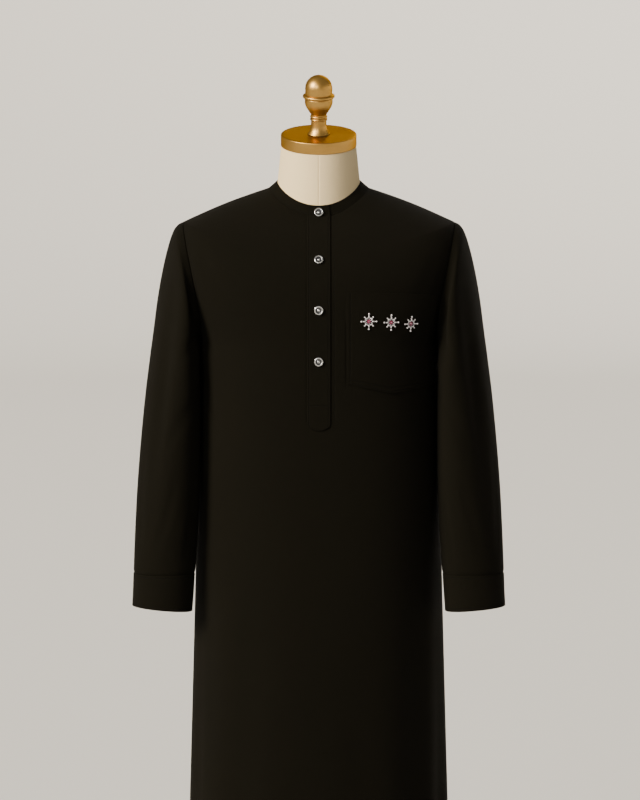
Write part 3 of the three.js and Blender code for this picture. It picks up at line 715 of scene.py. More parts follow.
def addPiece(name, shape, finish, replaced=(), sharp=60):
    # A smooth-shaded object of a shape, sharp where its faces turn by more than so many degrees
    points, faces, grains = shape
    mesh = bpy.data.meshes.new(name)
    corners = [face for block in faces for face in block.tolist()]
    mesh.from_pydata((points.reshape(-1, 3) * mm).tolist(), [], corners)
    layer = mesh.uv_layers.new(name="grain")
    layer.data.foreach_set("uv", np.concatenate([block.reshape(-1) for block in grains]).astype(np.float32))
    mesh.shade_smooth()
    mesh.set_sharp_from_angle(angle=np.radians(sharp))
    mesh.materials.append(finish)
    piece = bpy.data.objects.new(name, mesh)
    bpy.context.scene.collection.objects.link(piece)
    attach(piece, "root")
    if replaced:
        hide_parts(*replaced)
    return piece


def addCloth(node, shape):
    # The cloth piece that stands for a node
    return addPiece(node + "_cloth", shape, blackCloth, [node])


def grainOf(points, ring=False, fromLast=False):
    # The length along the cloth both ways at each point of a grid, in metres: across from the middle
    # column, and along each column from the first row or the last
    closed = np.concatenate([points, points[:, :1]], axis=1) if ring else points
    over = np.linalg.norm(np.diff(closed, axis=1), axis=-1)
    across = np.concatenate([np.zeros((len(closed), 1)), np.cumsum(over, axis=1)], axis=1)
    middle = closed.shape[1] // 2
    across = across - across[:, middle:middle + 1]
    up = np.linalg.norm(np.diff(closed, axis=0), axis=-1)
    along = np.concatenate([np.zeros((1, closed.shape[1])), np.cumsum(up, axis=0)], axis=0)
    if fromLast:
        along = along - along[-1:]
    return np.stack([across, along], axis=-1) * mm


def clothShell(outer, normals, thick, ring=False, kept=None, roll=(0, 0, 0), fromLast=True):
    # Two copies of a grid, a cloth's thickness apart. Every free edge is closed by a rim whose middle
    # stands out by a part of the thickness, given for the first row, the sides and the last row.
    rows, columns = outer.shape[:2]
    thickness = np.broadcast_to(np.asarray(thick, float), (rows, columns))[..., None]
    r, c = everyCell(rows - 1, columns if ring else columns - 1)
    if kept is not None:
        r, c = r[kept.ravel()], c[kept.ravel()]
    cells, cellGrain = cellsOf(r, c, columns), cellsOf(r, c, columns + 1 if ring else columns)
    flat, out = outer.reshape(-1, 3), normals.reshape(-1, 3)
    inner = (outer - normals * thickness).reshape(-1, 3)
    turned = np.cross(flat[cells[:, 1]] - flat[cells[:, 0]], flat[cells[:, 3]] - flat[cells[:, 0]])
    if (turned * out[cells[:, 0]]).sum() < 0:
        cells, cellGrain = cells[:, ::-1], cellGrain[:, ::-1]
    total = rows * columns
    starts, ends = cells.ravel(), np.roll(cells, -1, axis=1).ravel()
    startGrain, endGrain = cellGrain.ravel(), np.roll(cellGrain, -1, axis=1).ravel()
    free = ~np.isin(starts * total + ends, ends * total + starts)
    starts, ends, startGrain, endGrain = starts[free], ends[free], startGrain[free], endGrain[free]
    outwards = np.cross(flat[ends] - flat[starts], out[starts])
    rim = np.zeros((total, 3))
    np.add.at(rim, starts, outwards)
    np.add.at(rim, ends, outwards)
    edge = np.unique(np.concatenate([starts, ends]))
    parts = np.full((rows, columns, 1), roll[1], float)
    corners = slice(None) if ring else slice(1, -1)  # an open grid's corners keep the sides' part
    parts[0, corners], parts[-1, corners] = roll[0], roll[2]
    bulge = unit(rim[edge]) * (thickness * parts).reshape(-1, 1)[edge]
    middle = (flat[edge] + inner[edge]) / 2 + bulge
    rank = np.zeros(total, int)
    rank[edge] = 2 * total + np.arange(len(edge))
    faces = [
        cells,
        cells[:, ::-1] + total,
        np.stack([ends, starts, rank[starts], rank[ends]], axis=-1),
        np.stack([rank[ends], rank[starts], starts + total, ends + total], axis=-1),
    ]
    rimGrain = np.stack([endGrain, startGrain, startGrain, endGrain], axis=-1)
    uv = grainOf(outer, ring, fromLast).reshape(-1, 2)
    grains = [uv[cellGrain], uv[cellGrain[:, ::-1]], uv[rimGrain], uv[rimGrain]]
    return np.concatenate([flat, inner, middle]), faces, grains


def fan(ring, end, grain, along):
    # Triangles from a ring of points to an end point, whose grain is so far along
    tip = np.stack([grain[:-1, 0], np.full(len(ring), along)], axis=-1)
    faces = np.stack([ring, np.roll(ring, -1), np.full(len(ring), end)], axis=-1)
    return faces, np.stack([grain[:-1], grain[1:], tip], axis=1)


def closedRings(points, first, last):
    # A solid skin through rings of points, closed by a fan round a point at each end
    rows, columns = points.shape[:2]
    r, c = everyCell(rows - 1, columns)
    cells = cellsOf(r, c, columns)
    uv = grainOf(points, True)
    uv[..., 1] = uv[..., 1].mean(axis=1, keepdims=True)
    down = -np.linalg.norm(points[0] - first, axis=-1).mean() * mm
    up = uv[-1, :, 1].mean() + np.linalg.norm(points[-1] - last, axis=-1).mean() * mm
    ring = np.arange(columns)
    low, lowGrain = fan(ring, rows * columns, uv[0], down)
    high, highGrain = fan(ring + (rows - 1) * columns, rows * columns + 1, uv[-1], up)
    faces = [cells, low[:, ::-1], high]
    grains = [uv.reshape(-1, 2)[cellsOf(r, c, columns + 1)], lowGrain[:, ::-1], highGrain]
    every = np.concatenate([points.reshape(-1, 3), [first, last]])
    corner = [every[cells[:, i]] for i in range(4)]
    volume = sum((corner[0] * np.cross(corner[i], corner[i + 1])).sum() for i in (1, 2))
    if volume < 0:
        faces = [block[:, ::-1] for block in faces]
        grains = [block[:, ::-1] for block in grains]
    return every, faces, grains


def ball(rings, sides, square=2.0):
    # A unit ball, long along its first axis; a higher square makes it a capsule
    t = np.sin(np.linspace(-1, 1, rings + 2)[1:-1] * np.pi / 2)
    radius = np.maximum(1 - np.abs(t) ** square, 0) ** (1 / square)
    angle = np.arange(sides) * 2 * np.pi / sides
    skin = np.stack([
        np.repeat(t[:, None], sides, 1), radius[:, None] * np.cos(angle), radius[:, None] * np.sin(angle),
    ], axis=-1)
    return closedRings(skin, [-1.0, 0, 0], [1.0, 0, 0])


def placed(shape, centres, *axes):
    # A copy of a shape at each centre. Its three axes are vectors in millimetres, one for all the
    # copies or one for each.
    points, faces, grains = shape
    count, size = len(centres), len(points)
    copies = centres[:, None] + sum(
        points[None, :, i:i + 1] * np.broadcast_to(axis, (count, 3))[:, None] for i, axis in enumerate(axes)
    )
    shifts = np.arange(count)[:, None, None] * size
    numbered = [(block[None] + shifts).reshape(-1, block.shape[1]) for block in faces]
    return copies.reshape(-1, 3), numbered, [np.tile(block, (count, 1, 1)) for block in grains]


def joined(shapes):
    # Several shapes as one, the faces' numbers moved on
    points, faces, grains, start = [], [], [], 0
    for some, blocks, uv in shapes:
        points.append(some)
        faces += [block + start for block in blocks]
        grains += uv
        start += len(some)
    return np.concatenate(points), faces, grains


def lengthsAlong(line):
    # How far along the line each of its points is
    return np.concatenate([[0], np.cumsum(np.linalg.norm(np.diff(line, axis=0), axis=-1))])


def pointsAt(where, far, points):
    # Points on the straight lines between the given ones
    return np.stack([np.interp(where, far, column) for column in points.T], axis=-1)


thread = {"length": 2.8, "gap": 0.6, "radius": 0.38, "sunk": 0.16, "aim": 0.4}
stitchShape = ball(4, 6, 3.0)


def stitches(line, normals, size=thread):
    # Stitches end to end along a line on the cloth, each a capsule sunk a little into it
    far = lengthsAlong(line)
    count = max(int(far[-1] / (size["length"] + size["gap"])), 1)
    at = (np.arange(count) + 0.5) * far[-1] / count
    along = unit(pointsAt(at + thread["aim"], far, line) - pointsAt(at - thread["aim"], far, line))
    up = unit(pointsAt(at, far, normals))
    across = unit(np.cross(up, along))
    centres = pointsAt(at, far, line) + up * (size["radius"] - size["sunk"] * 2)
    return placed(stitchShape, centres, along * size["length"] / 2, across * size["radius"],
                  np.cross(along, across) * size["radius"])


def addStitching(name, lines):
    # Stitches along several lines, as one piece
    # The thread's colour carries painted shade along every stitched row
    return addPiece(name, joined([stitches(*line) for line in lines]), blackThreadAndShade)


# Front and back panels

placket = {
    "half": 18.2, "bottom": 1153, "endHeight": 11, "thick": 1.5,
    "stitchIn": 3.0,  # from the edge to its row of stitches
    "boxHeight": 1192,  # of the row of stitches across its foot
    "stitchDip": (0.45, 0.65),
    "edgeDrop": (0.25, 0.5),  # how much thinner it is at its edge, and over what width
    "cornerReach": 6,  # where it turns from the chest to the collar
}
panel = {
    "columns": 80,  # on each side of the middle
    "skirtStep": 8.6,
    "armholeStep": 0.024,
    "shoulderStep": 0.045,
    "seamDip": (0.8, 2.6),  # depth and width of the valley along a seam
    "neckDip": (0.8, 0.9),
    "neckDipAt": 1.3,  # below the neckline
    "hemBand": 26,
    "hemStep": 0.5,  # how far the turned-up hem stands out
    "hemThick": 0.9,  # and how much thicker it is
    "stitchDip": (0.35, 0.9),
    "armholeStitch": 6.0,
    "slitHalf": 1.5,
    "slitBottom": 1168,
    "besideStrip": 24.4,  # mm from the middle to the stitches beside the placket, on its outer side
    "besideBottom": 1160,
    "stripEdge": 18.9,  # mm from the middle to the line pressed in beside the placket
    "pocketEdge": 43.3,  # and to the line beside the pocket
    "pocketReach": (1228, 1368),
    "pressed": (0.5, 0.7),
}


def panelPlaces():
    # Rows up the skirt, the armhole and the shoulder, closer together at the hem, the slit and the neck
    hem = cut["hemHeight"]
    fineAt = [hem, hem + panel["hemBand"], panel["slitBottom"]]
    heights = spaced(hem, cut["underarmHeight"], panel["skirtStep"], fineAt, 0.7, 2.1)
    armholeRows = spaced(1, 2, panel["armholeStep"])
    shoulderRows = spaced(2, 3, panel["shoulderStep"], [3], 0.008, 0.05)
    return np.concatenate([placeOf(heights), armholeRows[1:], shoulderRows[1:]])


def halfColumns(side):
    # From 0 in the middle to 1 at the seam, closer together near the seam and the front's lines
    fine = [np.linspace(0, 1, panel["columns"]), 1 - np.array([0.0012, 0.003, 0.005, 0.0075])]
    if side == front:
        slit = acrossOf(panel["slitHalf"], 1.0)
        for line, step in (("stripEdge", 0.0016), ("besideStrip", 0.0025), ("pocketEdge", 0.0016)):
            fine.append((acrossOf(panel[line], 1.0) - slit) / (1 - slit) + step * np.arange(-2, 3))
    return np.unique(np.concatenate(fine))


def pressedLines(point):
    # The front's stitched line beside the placket, and the lines pressed in beside it and the pocket
    x, z = point[..., 0], point[..., 2]
    foot = placket["bottom"]
    low, high = panel["pocketReach"]
    dip = groove(x - panel["besideStrip"], *panel["stitchDip"]) * (z > panel["besideBottom"])
    dip += groove(np.abs(x) - panel["stripEdge"], *panel["pressed"]) * smooth(foot + 10, foot + 16, z)
    besidePocket = groove(x - panel["pocketEdge"], *panel["pressed"])
    return dip + besidePocket * smooth(low - 4, low, z) * smooth(high + 4, high, z)


def panelStitches(side, places, outer, normal, distance, height):
    # Lines for the hem and the two armholes, and on the front the line beside the placket
    hemRow = nearest(height[:, 0], panel["hemBand"])
    lines = [(outer[hemRow], normal[hemRow])]
    rows = np.flatnonzero((places > 1.03) & (places < 1.97))
    middle = outer.shape[1] // 2
    for half, start in ((slice(0, middle), 0), (slice(middle, None), middle)):
        near = np.abs(distance[rows][:, half] - panel["armholeStitch"])
        pick = np.argmin(near, axis=1) + start
        lines.append((outer[rows, pick], normal[rows, pick]))
    if side == front:
        rows = np.flatnonzero((places > placeOf(panel["besideBottom"])) & (places < 2.985))
        seat, out = frontAt(panel["besideStrip"], places[rows])
        lines.append((seat - out * panel["stitchDip"][0], out))
    return lines


def addPanel(side):
    # The body's surface with a valley along each seam, a stitched armhole and a turned-up hem
    places, half = panelPlaces(), halfColumns(side)
    slit = acrossOf(panel["slitHalf"], places)[:, None] if side == front else np.zeros((len(places), 1))
    right = slit + (1 - slit) * half
    across = np.concatenate([-right[:, ::-1], right if side == front else right[:, 1:]], axis=1)
    place = np.broadcast_to(places[:, None], across.shape)
    point, normal = panelAt(side, place, across)
    grain = grainOf(point) / mm
    fromSeam = np.abs(grain[:, [0, -1], 0])
    distance = np.where(grain[..., 0] < 0, fromSeam[:, :1], fromSeam[:, 1:]) - np.abs(grain[..., 0])
    height, hem = grain[..., 1], panel["hemBand"]
    folded = foldedShare(armholeAngle(side, place)) * smooth(0.9, 1, place)
    dip = groove(distance, *panel["seamDip"]) * (1 - folded)
    dip += groove(grain[-1:, :, 1] - height - panel["neckDipAt"], *panel["neckDip"])
    onHole = smooth(1.0, 1.06, place) * smooth(2.0, 1.96, place)
    dip += groove(distance - panel["armholeStitch"], *panel["stitchDip"]) * onHole
    dip += groove(height - hem, *panel["stitchDip"]) - panel["hemStep"] * smooth(hem + 2.5, hem - 0.5, height)
    kept = np.ones((len(places) - 1, across.shape[1] - 1), bool)
    if side == front:
        dip += pressedLines(point)
        kept[places[:-1] >= placeOf(panel["slitBottom"]) - 1e-9, across.shape[1] // 2 - 1] = False
    outer = point - normal * dip[..., None]
    onSeam = (np.abs(across) > 1 - 1e-9) & ((place <= 1) | (place >= 2))
    outer[..., 1] += np.where(onSeam, side * cut["seamGap"] / 2, 0)
    thick = cut["cloth"] + panel["hemThick"] * smooth(hem + 1, hem - 1, height)
    name = sideNames[side]
    piece = addCloth(name, clothShell(outer, normal, thick, kept=kept, roll=(0.3, 0, 0), fromLast=False))
    addStitching(name + "_stitching", panelStitches(side, places, outer, normal, distance, height))
    return piece


frontCloth = addPanel(front)
backCloth = addPanel(back)
print("front and back")


# Sleeves and cuffs, made for the left arm and mirrored

sleeveShape = {
    "angles": 132,
    "rows": 12,
    "rowStep": 0.11,
    "seamDip": (1.3, 0.045),  # depth in mm, width in rows
    "underarm": (152, 34, 1.9, 1.5, 1.9),  # degrees round, width, row, rows and how far it stands out
    "pulled": (180, 15, 0.7, 0.45, 0.7),  # the same for the way it is drawn off the body under the arm
    "mmPerRow": 46,
    "mmPerDegree": 1.2,
    # degrees round from the outer point over the front, width, depth, and the rows where a fold fades
    # in, is full and ends
    "folds": [
        (112, 17, 6, 0.4, 3.2, 8), (72, 18, -2.5, 1, 4, 8), (48, 16, 4, 3, 7, 12),
        (300, 18, 6, 1, 5, 11), (246, 16, 6, 0.6, 3.5, 8.5),
    ],
    # from and to as degrees round and rows down, bow in mm, width, depth
    "creases": [
        (150, 1.4, 96, 4.6, 6, 9, 1.5), (132, 3.2, 84, 6.6, -7, 11, 1.8), (166, 4.6, 110, 7.4, 8, 10, 1.5),
        (150, 6.6, 70, 8.4, 9, 9, 1.4), (128, 7.8, 62, 9.2, -7, 9, 1.3), (30, 5.2, 52, 9.4, 5, 13, 1.5),
        (96, 9.4, 60, 11.6, 5, 9, 1.2), (20, 8.6, 34, 11.8, -4, 11, 1.2), (132, 9.8, 120, 11.9, 3, 9, 1.1),
        (210, 2.4, 262, 5.8, -8, 12, 2.0), (222, 5.0, 286, 7.4, 8, 11, 1.9),
        (206, 7.0, 270, 8.6, -8, 10, 1.7), (318, 4.6, 300, 9.4, 6, 13, 1.8),
        (250, 8.8, 236, 11.8, 4, 10, 1.5), (334, 8.2, 322, 11.6, -4, 12, 1.4),
        (286, 1.0, 306, 3.6, 5, 13, 1.4),
    ],
}
cuffShape = {"rowStep": 0.05, "stitchAt": (0.16, 1.86), "stitchDip": (0.4, 0.03), "seamDip": (0.5, 0.02),
             "wave": 0.35, "thicker": 0.4}
tubeAngles = np.arange(sleeveShape["angles"]) * 2 * np.pi / sleeveShape["angles"]


def sleeveSurface(rows):
    # The sleeve's outer face with its folds and creases; its first rows turn with the armhole
    row, angle = np.meshgrid(rows, tubeAngles, indexing="ij")
    point, normal = tubeAt(sleeve, row, angle)
    degrees = np.degrees(angle)
    last = sleeveShape["rows"]
    depth = np.zeros_like(row)
    for at, width, deep, fades, full, ends in sleeveShape["folds"]:
        away = np.abs(degrees - at)
        bell = groove(np.minimum(away, 360 - away), deep, width)
        depth += bell * smooth(fades, full, row) * smooth(ends, full, row)
    scale = np.array([sleeveShape["mmPerDegree"], sleeveShape["mmPerRow"]] * 2 + [1, 1, 1])
    calm = smooth(0, 1.2, row) * smooth(last, last - 0.6, row)
    inMm = np.array(sleeveShape["creases"]) * scale
    depth += creased(degrees * scale[0], row * scale[1], inMm, 360 * scale[0]) * calm
    folded = foldedShare(angle)
    at, wide, start, tall, high = sleeveShape["underarm"]
    depth -= groove(degrees - at, high, wide) * groove(row - start, 1, tall) * smooth(0, 0.7, row)
    point = point - normal * depth[..., None]
    seam = unit(armholeNormal(angle) * (1 - folded)[..., None] + normal * folded[..., None])
    blend = smooth(0, 1, row)[..., None]
    normal = unit(seam * (1 - blend) + normal * blend)
    dips = groove(row, *sleeveShape["seamDip"]) * (1 - folded) + groove(row - last, *sleeveShape["seamDip"])
    apart = (cut["seamGap"] - 0.2 * folded) * smooth(0.25 + 1.5 * folded, 0, row)
    at, wide, start, tall, high = sleeveShape["pulled"]
    apart += groove(row - start, high, tall) * groove(degrees - at, 1, wide)
    return point - normal * dips[..., None] + armholeOut * apart[..., None], normal


def addTubes(name, point, normal, rows=(), thicker=0.0, roll=(0, 0, 0)):
    # The left tube and its mirror image, with stitching along some of their rows
    pieces = []
    for hand, flip in (("left", 1), ("right", -1)):
        outer, out = point * np.array([flip, 1, 1]), normal * np.array([flip, 1, 1])
        node = f"{name}_{hand}"
        pieces.append(addCloth(node, clothShell(outer, out, cut["cloth"] + thicker, ring=True, roll=roll)))
        if rows:
            again = list(range(point.shape[1])) + [0]
            addStitching(node + "_stitching", [(outer[row, again], out[row, again]) for row in rows])
    return pieces


def addSleeves():
    # Rows down the arm, closer together at both seams
    last = sleeveShape["rows"]
    ends = np.array([0.02, 0.05, 0.08])
    rows = np.unique(np.concatenate([spaced(0, last, sleeveShape["rowStep"]), ends, last - ends]))
    return addTubes("sleeve", *sleeveSurface(rows))


def addCuffs():
    # A cuff's smooth tube with a soft wave round it and a little dip along each of its stitched rows
    at = cuffShape["stitchAt"]
    rows = withFine(spaced(0, 2, cuffShape["rowStep"]), at, 0.05, 7)
    row, angle = np.meshgrid(rows, tubeAngles, indexing="ij")
    point, normal = tubeAt(cuff, row, angle)
    depth = groove(row, *cuffShape["seamDip"])
    for line in at:
        depth += groove(row - line, *cuffShape["stitchDip"])
    depth += cuffShape["wave"] * np.sin(angle * 3 + 0.7) * smooth(0.1, 1, row) * smooth(2, 1.2, row)
    stitched = [nearest(rows, line) for line in at]
    outer = point - normal * depth[..., None]
    return addTubes("cuff", outer, normal, stitched, cuffShape["thicker"], (0, 0, 0.35))


for piece in addSleeves():
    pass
for piece in addCuffs():
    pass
print("sleeves and cuffs")


# Collar band

collar = {
    "topHalf": 67, "frontY": -60, "backY": 62, "frontZ": 1502, "sideZ": 1539, "backZ": 1553, "dip": 1.5,
    "footGap": 0.06,
    "columns": 62,  # from the middle to a side
    "rows": 22,
    "stitchAt": (0.14, 0.87),
    "stitchDip": (0.3, 0.04),
}


def collarAt(side, across, rise):
    # A band from the neckline to its upper edge, which leans in to a smaller oval
    across, rise = np.broadcast_arrays(np.asarray(across, float), np.asarray(rise, float))
    share = shareOf(across)
    foot = bodyPoint(side, np.full_like(across, 3.0), share)
    name = sideNames[side]
    depth = np.sqrt(np.maximum(1 - share**2, 0))
    top = np.stack([
        collar["topHalf"] * share,
        cut["seamY"] + (collar[name + "Y"] - cut["seamY"]) * depth,
        collar["sideZ"] + (collar[name + "Z"] - collar["sideZ"]) * depth ** collar["dip"],
    ], axis=-1)
    up = unit(top - foot)
    radius = cut["neckSide"][0]
    out = np.stack([foot[..., 0] / radius, (foot[..., 1] - cut["seamY"]) / radius, np.zeros_like(share)], -1)
    normal = unit(out - up * (out * up).sum(-1, keepdims=True))
    base = foot + up * collar["footGap"]
    return base + (top - base) * rise[..., None], normal


def addCollar():
    # Round from the slit's one side to the other, with a little dip along its two stitched rows
    half = np.linspace(0, 1, collar["columns"])
    start = float(acrossOf(panel["slitHalf"], np.array(3.0)))
    frontHalf = start + (1 - start) * half
    backHalf = np.concatenate([half[::-1][1:], -half[1:]])
    rises = withFine(np.linspace(0, 1, collar["rows"]), collar["stitchAt"], 0.06, 5)
    parts = [(front, frontHalf), (back, backHalf), (front, -frontHalf[::-1][1:])]
    sides = [collarAt(side, across[None, :], rises[:, None]) for side, across in parts]
    point, normal = (np.concatenate(part, axis=1) for part in zip(*sides))
    depth = sum(groove(rises[:, None] - at, *collar["stitchDip"]) for at in collar["stitchAt"])
    point = point - normal * depth[..., None]
    piece = addCloth("collar_band", clothShell(point, normal, cut["cloth"], roll=(0, 0, 0.4)))
    rows = [nearest(rises, at) for at in collar["stitchAt"]]
    addStitching("collar_stitching", [(point[row], normal[row]) for row in rows])
    return piece


collarCloth = addCollar()
print("collar band")


# Strips along the front opening

underPlacket = {
    "half": 14, "bottom": 1160, "thick": 1.2, "topPlace": 2.94, "gap": 0.5,
    "rows": 130, "columns": 9,
}


def placketSurface():
    # Rows up the chest, rounded at the foot, then up the collar. The normal turns smoothly between them.
    half, foot, endHeight, reach = (placket[key] for key in ("half", "bottom", "endHeight", "cornerReach"))
    low = endHeight * (1 - np.cos(np.linspace(0.16, np.pi / 2, 12)))
    lowHalf = half * np.sqrt(1 - (1 - np.minimum(low / endHeight, 1)) ** 2)
    straight = spaced(foot + endHeight, cut["underarmHeight"], 3.0, [placket["boxHeight"]], 0.4, 1.6)[1:]
    chest = np.concatenate([placeOf(foot + low), placeOf(straight), np.linspace(1, 3, 88)[1:]])
    halves = np.concatenate([lowHalf, np.full(len(chest) - len(lowHalf), half)])
    inset = 1 - placket["stitchIn"] / half
    share = withFine(np.linspace(-1, 1, 25), (-inset, inset), 0.07, 7)
    x = halves[:, None] * share
    point, normal = frontAt(x, np.broadcast_to(chest[:, None], x.shape))
    neckX = half * share[None, :]
    rises = np.linspace(0, 1, 12)[1:, None]
    overPoint, overNormal = collarAt(front, acrossOf(neckX, np.full_like(neckX, 3.0)), rises)
    points, normals = np.concatenate([point, overPoint]), np.concatenate([normal, overNormal])
    corner = len(chest) - 1
    climb = lengthsAlong(points[:, len(share) // 2])
    climb -= climb[corner]
    weight = smooth(-reach, reach, climb)[:, None, None]
    turned = unit(normals[corner] * (1 - weight) + overNormal[0] * weight)
    return points, np.where((np.abs(climb) < reach)[:, None, None], turned, normals), share, climb


def addPlacket():
    # The strip's edges and its row across the foot are stitched, with a little dip along the stitches
    seat, normal, share, climb = placketSurface()
    inset = 1 - placket["stitchIn"] / placket["half"]
    aside = (np.abs(share) - inset)[None, :] * placket["half"]
    height = seat[..., 2] - placket["boxHeight"]
    dip = groove(aside, *placket["stitchDip"]) + groove(height, *placket["stitchDip"]) * (climb < 0)[:, None]
    fromEdge = (1 - np.abs(share)) * placket["half"]
    raised = cut["seamGap"] + placket["thick"] - dip - groove(fromEdge, *placket["edgeDrop"])
    outer = seat + normal * raised[..., None]
    piece = addCloth("placket", clothShell(outer, normal, raised - cut["seamGap"], roll=(0.1, 0.1, 0.1)))
    sides = [nearest(share, -inset), nearest(share, inset)]
    boxRow, within = nearest(height[:, 0], 0), slice(sides[0], sides[1] + 1)
    lines = [(outer[:, column], normal[:, column]) for column in sides]
    addStitching("placket_stitching", lines + [(outer[boxRow, within], normal[boxRow, within])])
    return piece


def addUnderPlacket():
    # A plain strip behind the slit, a little off the front's inner face
    places = np.linspace(placeOf(underPlacket["bottom"]), underPlacket["topPlace"], underPlacket["rows"])
    place, x = np.meshgrid(places, underPlacket["half"] * np.linspace(-1, 1, underPlacket["columns"]),
                           indexing="ij")
    point, normal = frontAt(x, place)
    outer = point - normal * (cut["cloth"] + underPlacket["gap"])
    return addCloth("under_placket", clothShell(outer, normal, underPlacket["thick"]))


placketCloth = addPlacket()
underCloth = addUnderPlacket()
print("plackets")


# Turned pieces. An outline is rows of radius and height from the axis at its foot to the axis at its top.


def arc(centreR, centreH, radius, start, stop, count):
    # Points of a half-outline on part of a circle, its angles in degrees from outwards to upwards
    angle = np.radians(np.linspace(start, stop, count))
    return np.stack([centreR + radius * np.cos(angle), centreH + radius * np.sin(angle)], axis=-1)


def turnedPiece(outline, segments, origin, axis):
    # An outline carried round an axis through a point, from a spoke square to Y, or from +X if the axis
    # is near Y itself
    axis = unit(np.asarray(axis, float))
    east = unit(np.cross([0.0, 1.0, 0.0], axis)) if abs(axis[1]) < 0.9 else np.array([1.0, 0, 0])
    north = np.cross(axis, east)
    angle = np.arange(segments) * 2 * np.pi / segments
    spoke = np.cos(angle)[:, None] * east + np.sin(angle)[:, None] * north
    radius, height = outline[:, 0, None, None], outline[:, 1, None, None]
    rings = origin + spoke * radius[1:-1] + axis * height[1:-1]
    return closedRings(rings, origin + axis * outline[0, 1], origin + axis * outline[-1, 1])


# Buttons

button = {
    "radius": 7, "thick": 3, "round": 0.9, "footRound": 0.5,
    "dishRadius": 5.1, "floor": 1.9, "lip": 0.55,
    "bossRadius": 1.9, "bossHeight": 0.95, "bossRound": 0.35, "bossCentre": 1.1,  # below the dish's floor
    "segments": 48,
}
# The first stands on the collar, at a part of its height, and the others on the chest, at a place
buttonsAt = {"button_1": ("collar", 0.35), "button_2": ("chest", 1.8), "button_3": ("chest", 1.3),
             "button_4": ("chest", 0.984)}
buttonhole = {
    "half": 9.5, "open": 0.5, "bar": 1.5, "pitch": 0.42, "radius": 0.24,
    "tackRows": (0.0, 0.4, 0.8),
    "bend": 450,  # the chest's radius of curvature
}


def buttonOutline():
    # A rounded rim, a dished middle and a low round boss in it
    radius, thick, soft, foot = (button[key] for key in ("radius", "thick", "round", "footRound"))
    dish, floor, lip = button["dishRadius"], button["floor"], button["lip"]
    boss, rise = button["bossRadius"], button["bossHeight"]
    small, below = button["bossRound"], button["bossCentre"]
    return np.concatenate([
        [[0, 0]],
        arc(radius - foot, foot, foot, -90, 0, 4),
        arc(radius - soft, thick - soft, soft, 0, 90, 7),
        arc(dish + 0.3, thick - lip, lip, 90, 200, 7),
        arc(dish - 0.75, floor + foot, foot, -20, -90, 4),
        [[boss + 0.6, floor]],
        arc(boss + 0.15, floor + small, small, 270, 180, 4),
        arc(0, floor - below, below + rise, 32, 86, 7),
        [[0, floor + rise]],
    ])


def buttonholeAt(point, normal, shape):
    # Satin bars either side of a slit, and one bar tack at each end, bent to the chest's curve
    side = np.array([1.0, 0, 0])
    up = unit(np.cross(normal, side) * np.sign(np.cross(normal, side)[2]))
    half, bar, bend = buttonhole["half"], buttonhole["bar"], 2 * buttonhole["bend"]
    face = point + normal * (placket["thick"] + cut["seamGap"])
    steps = np.arange(-half, half, buttonhole["pitch"])[:, None]
    row = face + up * steps - normal * steps**2 / bend
    middle = side * (buttonhole["open"] + bar / 2)
    tacks = [face - normal * half**2 / bend + up * end * (half + past)
             for end in (-1, 1) for past in buttonhole["tackRows"]]
    centres = np.concatenate([row + middle, row - middle, tacks])
    halfBar, halfTack = side * bar / 2, middle + side * bar / 2
    along = np.concatenate([np.tile(halfBar, (2 * len(row), 1)), np.tile(halfTack, (len(tacks), 1))])
    return placed(shape, centres, along, up * buttonhole["radius"], normal * buttonhole["radius"])


def addButtons():
    # Each button stands on the placket, over a vertical stitched hole
    shape = ball(3, 6, 3.0)
    holes = []
    for name, (kind, at) in buttonsAt.items():
        middle, at = np.array(0.0), np.array(at)
        point, normal = collarAt(front, middle, at) if kind == "collar" else frontAt(middle, at)
        origin = point + normal * (placket["thick"] + 3 * cut["seamGap"])
        metal = turnedPiece(buttonOutline(), button["segments"], origin, normal)
        addPiece(name + "_metal", metal, buttonMetal, [name], sharp=50)
        holes.append(buttonholeAt(point, normal, shape))
    # The buttonholes' thread carries the same painted shade as the other black stitching
    addPiece("buttonholes", joined(holes), blackThreadAndShade)


addButtons()
print("buttons")


# Pocket

pocket = {
    "left": 44, "rightAcross": 9 / 11, "topPlace": 1.45, "thick": 1.3,
    "innerCorner": 1226, "point": 1209.5, "outerCorner": 1218,
    "columns": 58, "rows": 66,
    "stitchIn": 5.0, "footStitch": 2.6, "secondRow": 8.6, "stitchDip": (0.5, 0.8),
    "fine": 1.5,  # mm of closer rows and columns at each side of the stitches
    "ease": 0.9,  # how far its middle stands off the chest
}


def pocketSurface(s, t):
    # s goes from the pocket's inner edge to its outer one, t from the pointed lower edge to the top
    inner, right = pocket["left"], pocket["rightAcross"]
    straight = acrossOf(inner, 1.0)
    widest = cut["chestHalf"] * shareOf(right)
    x = cut["chestHalf"] * shareOf(straight + (right - straight) * s)
    over = 2 * (x - inner) / (widest - inner) - 1
    corner = np.where(over < 0, pocket["innerCorner"], pocket["outerCorner"])
    places, heights = chestHeights((inner + widest) / 2)
    low = pocket["point"] + (corner - pocket["point"]) * np.abs(over)
    low = np.interp(placeOf(low), places, heights)
    top = np.interp(pocket["topPlace"], places, heights)
    place = np.interp(low + (top - low) * t, heights, places)
    left = acrossOf(inner, place)
    return panelAt(front, place, left + (right - left) * s)


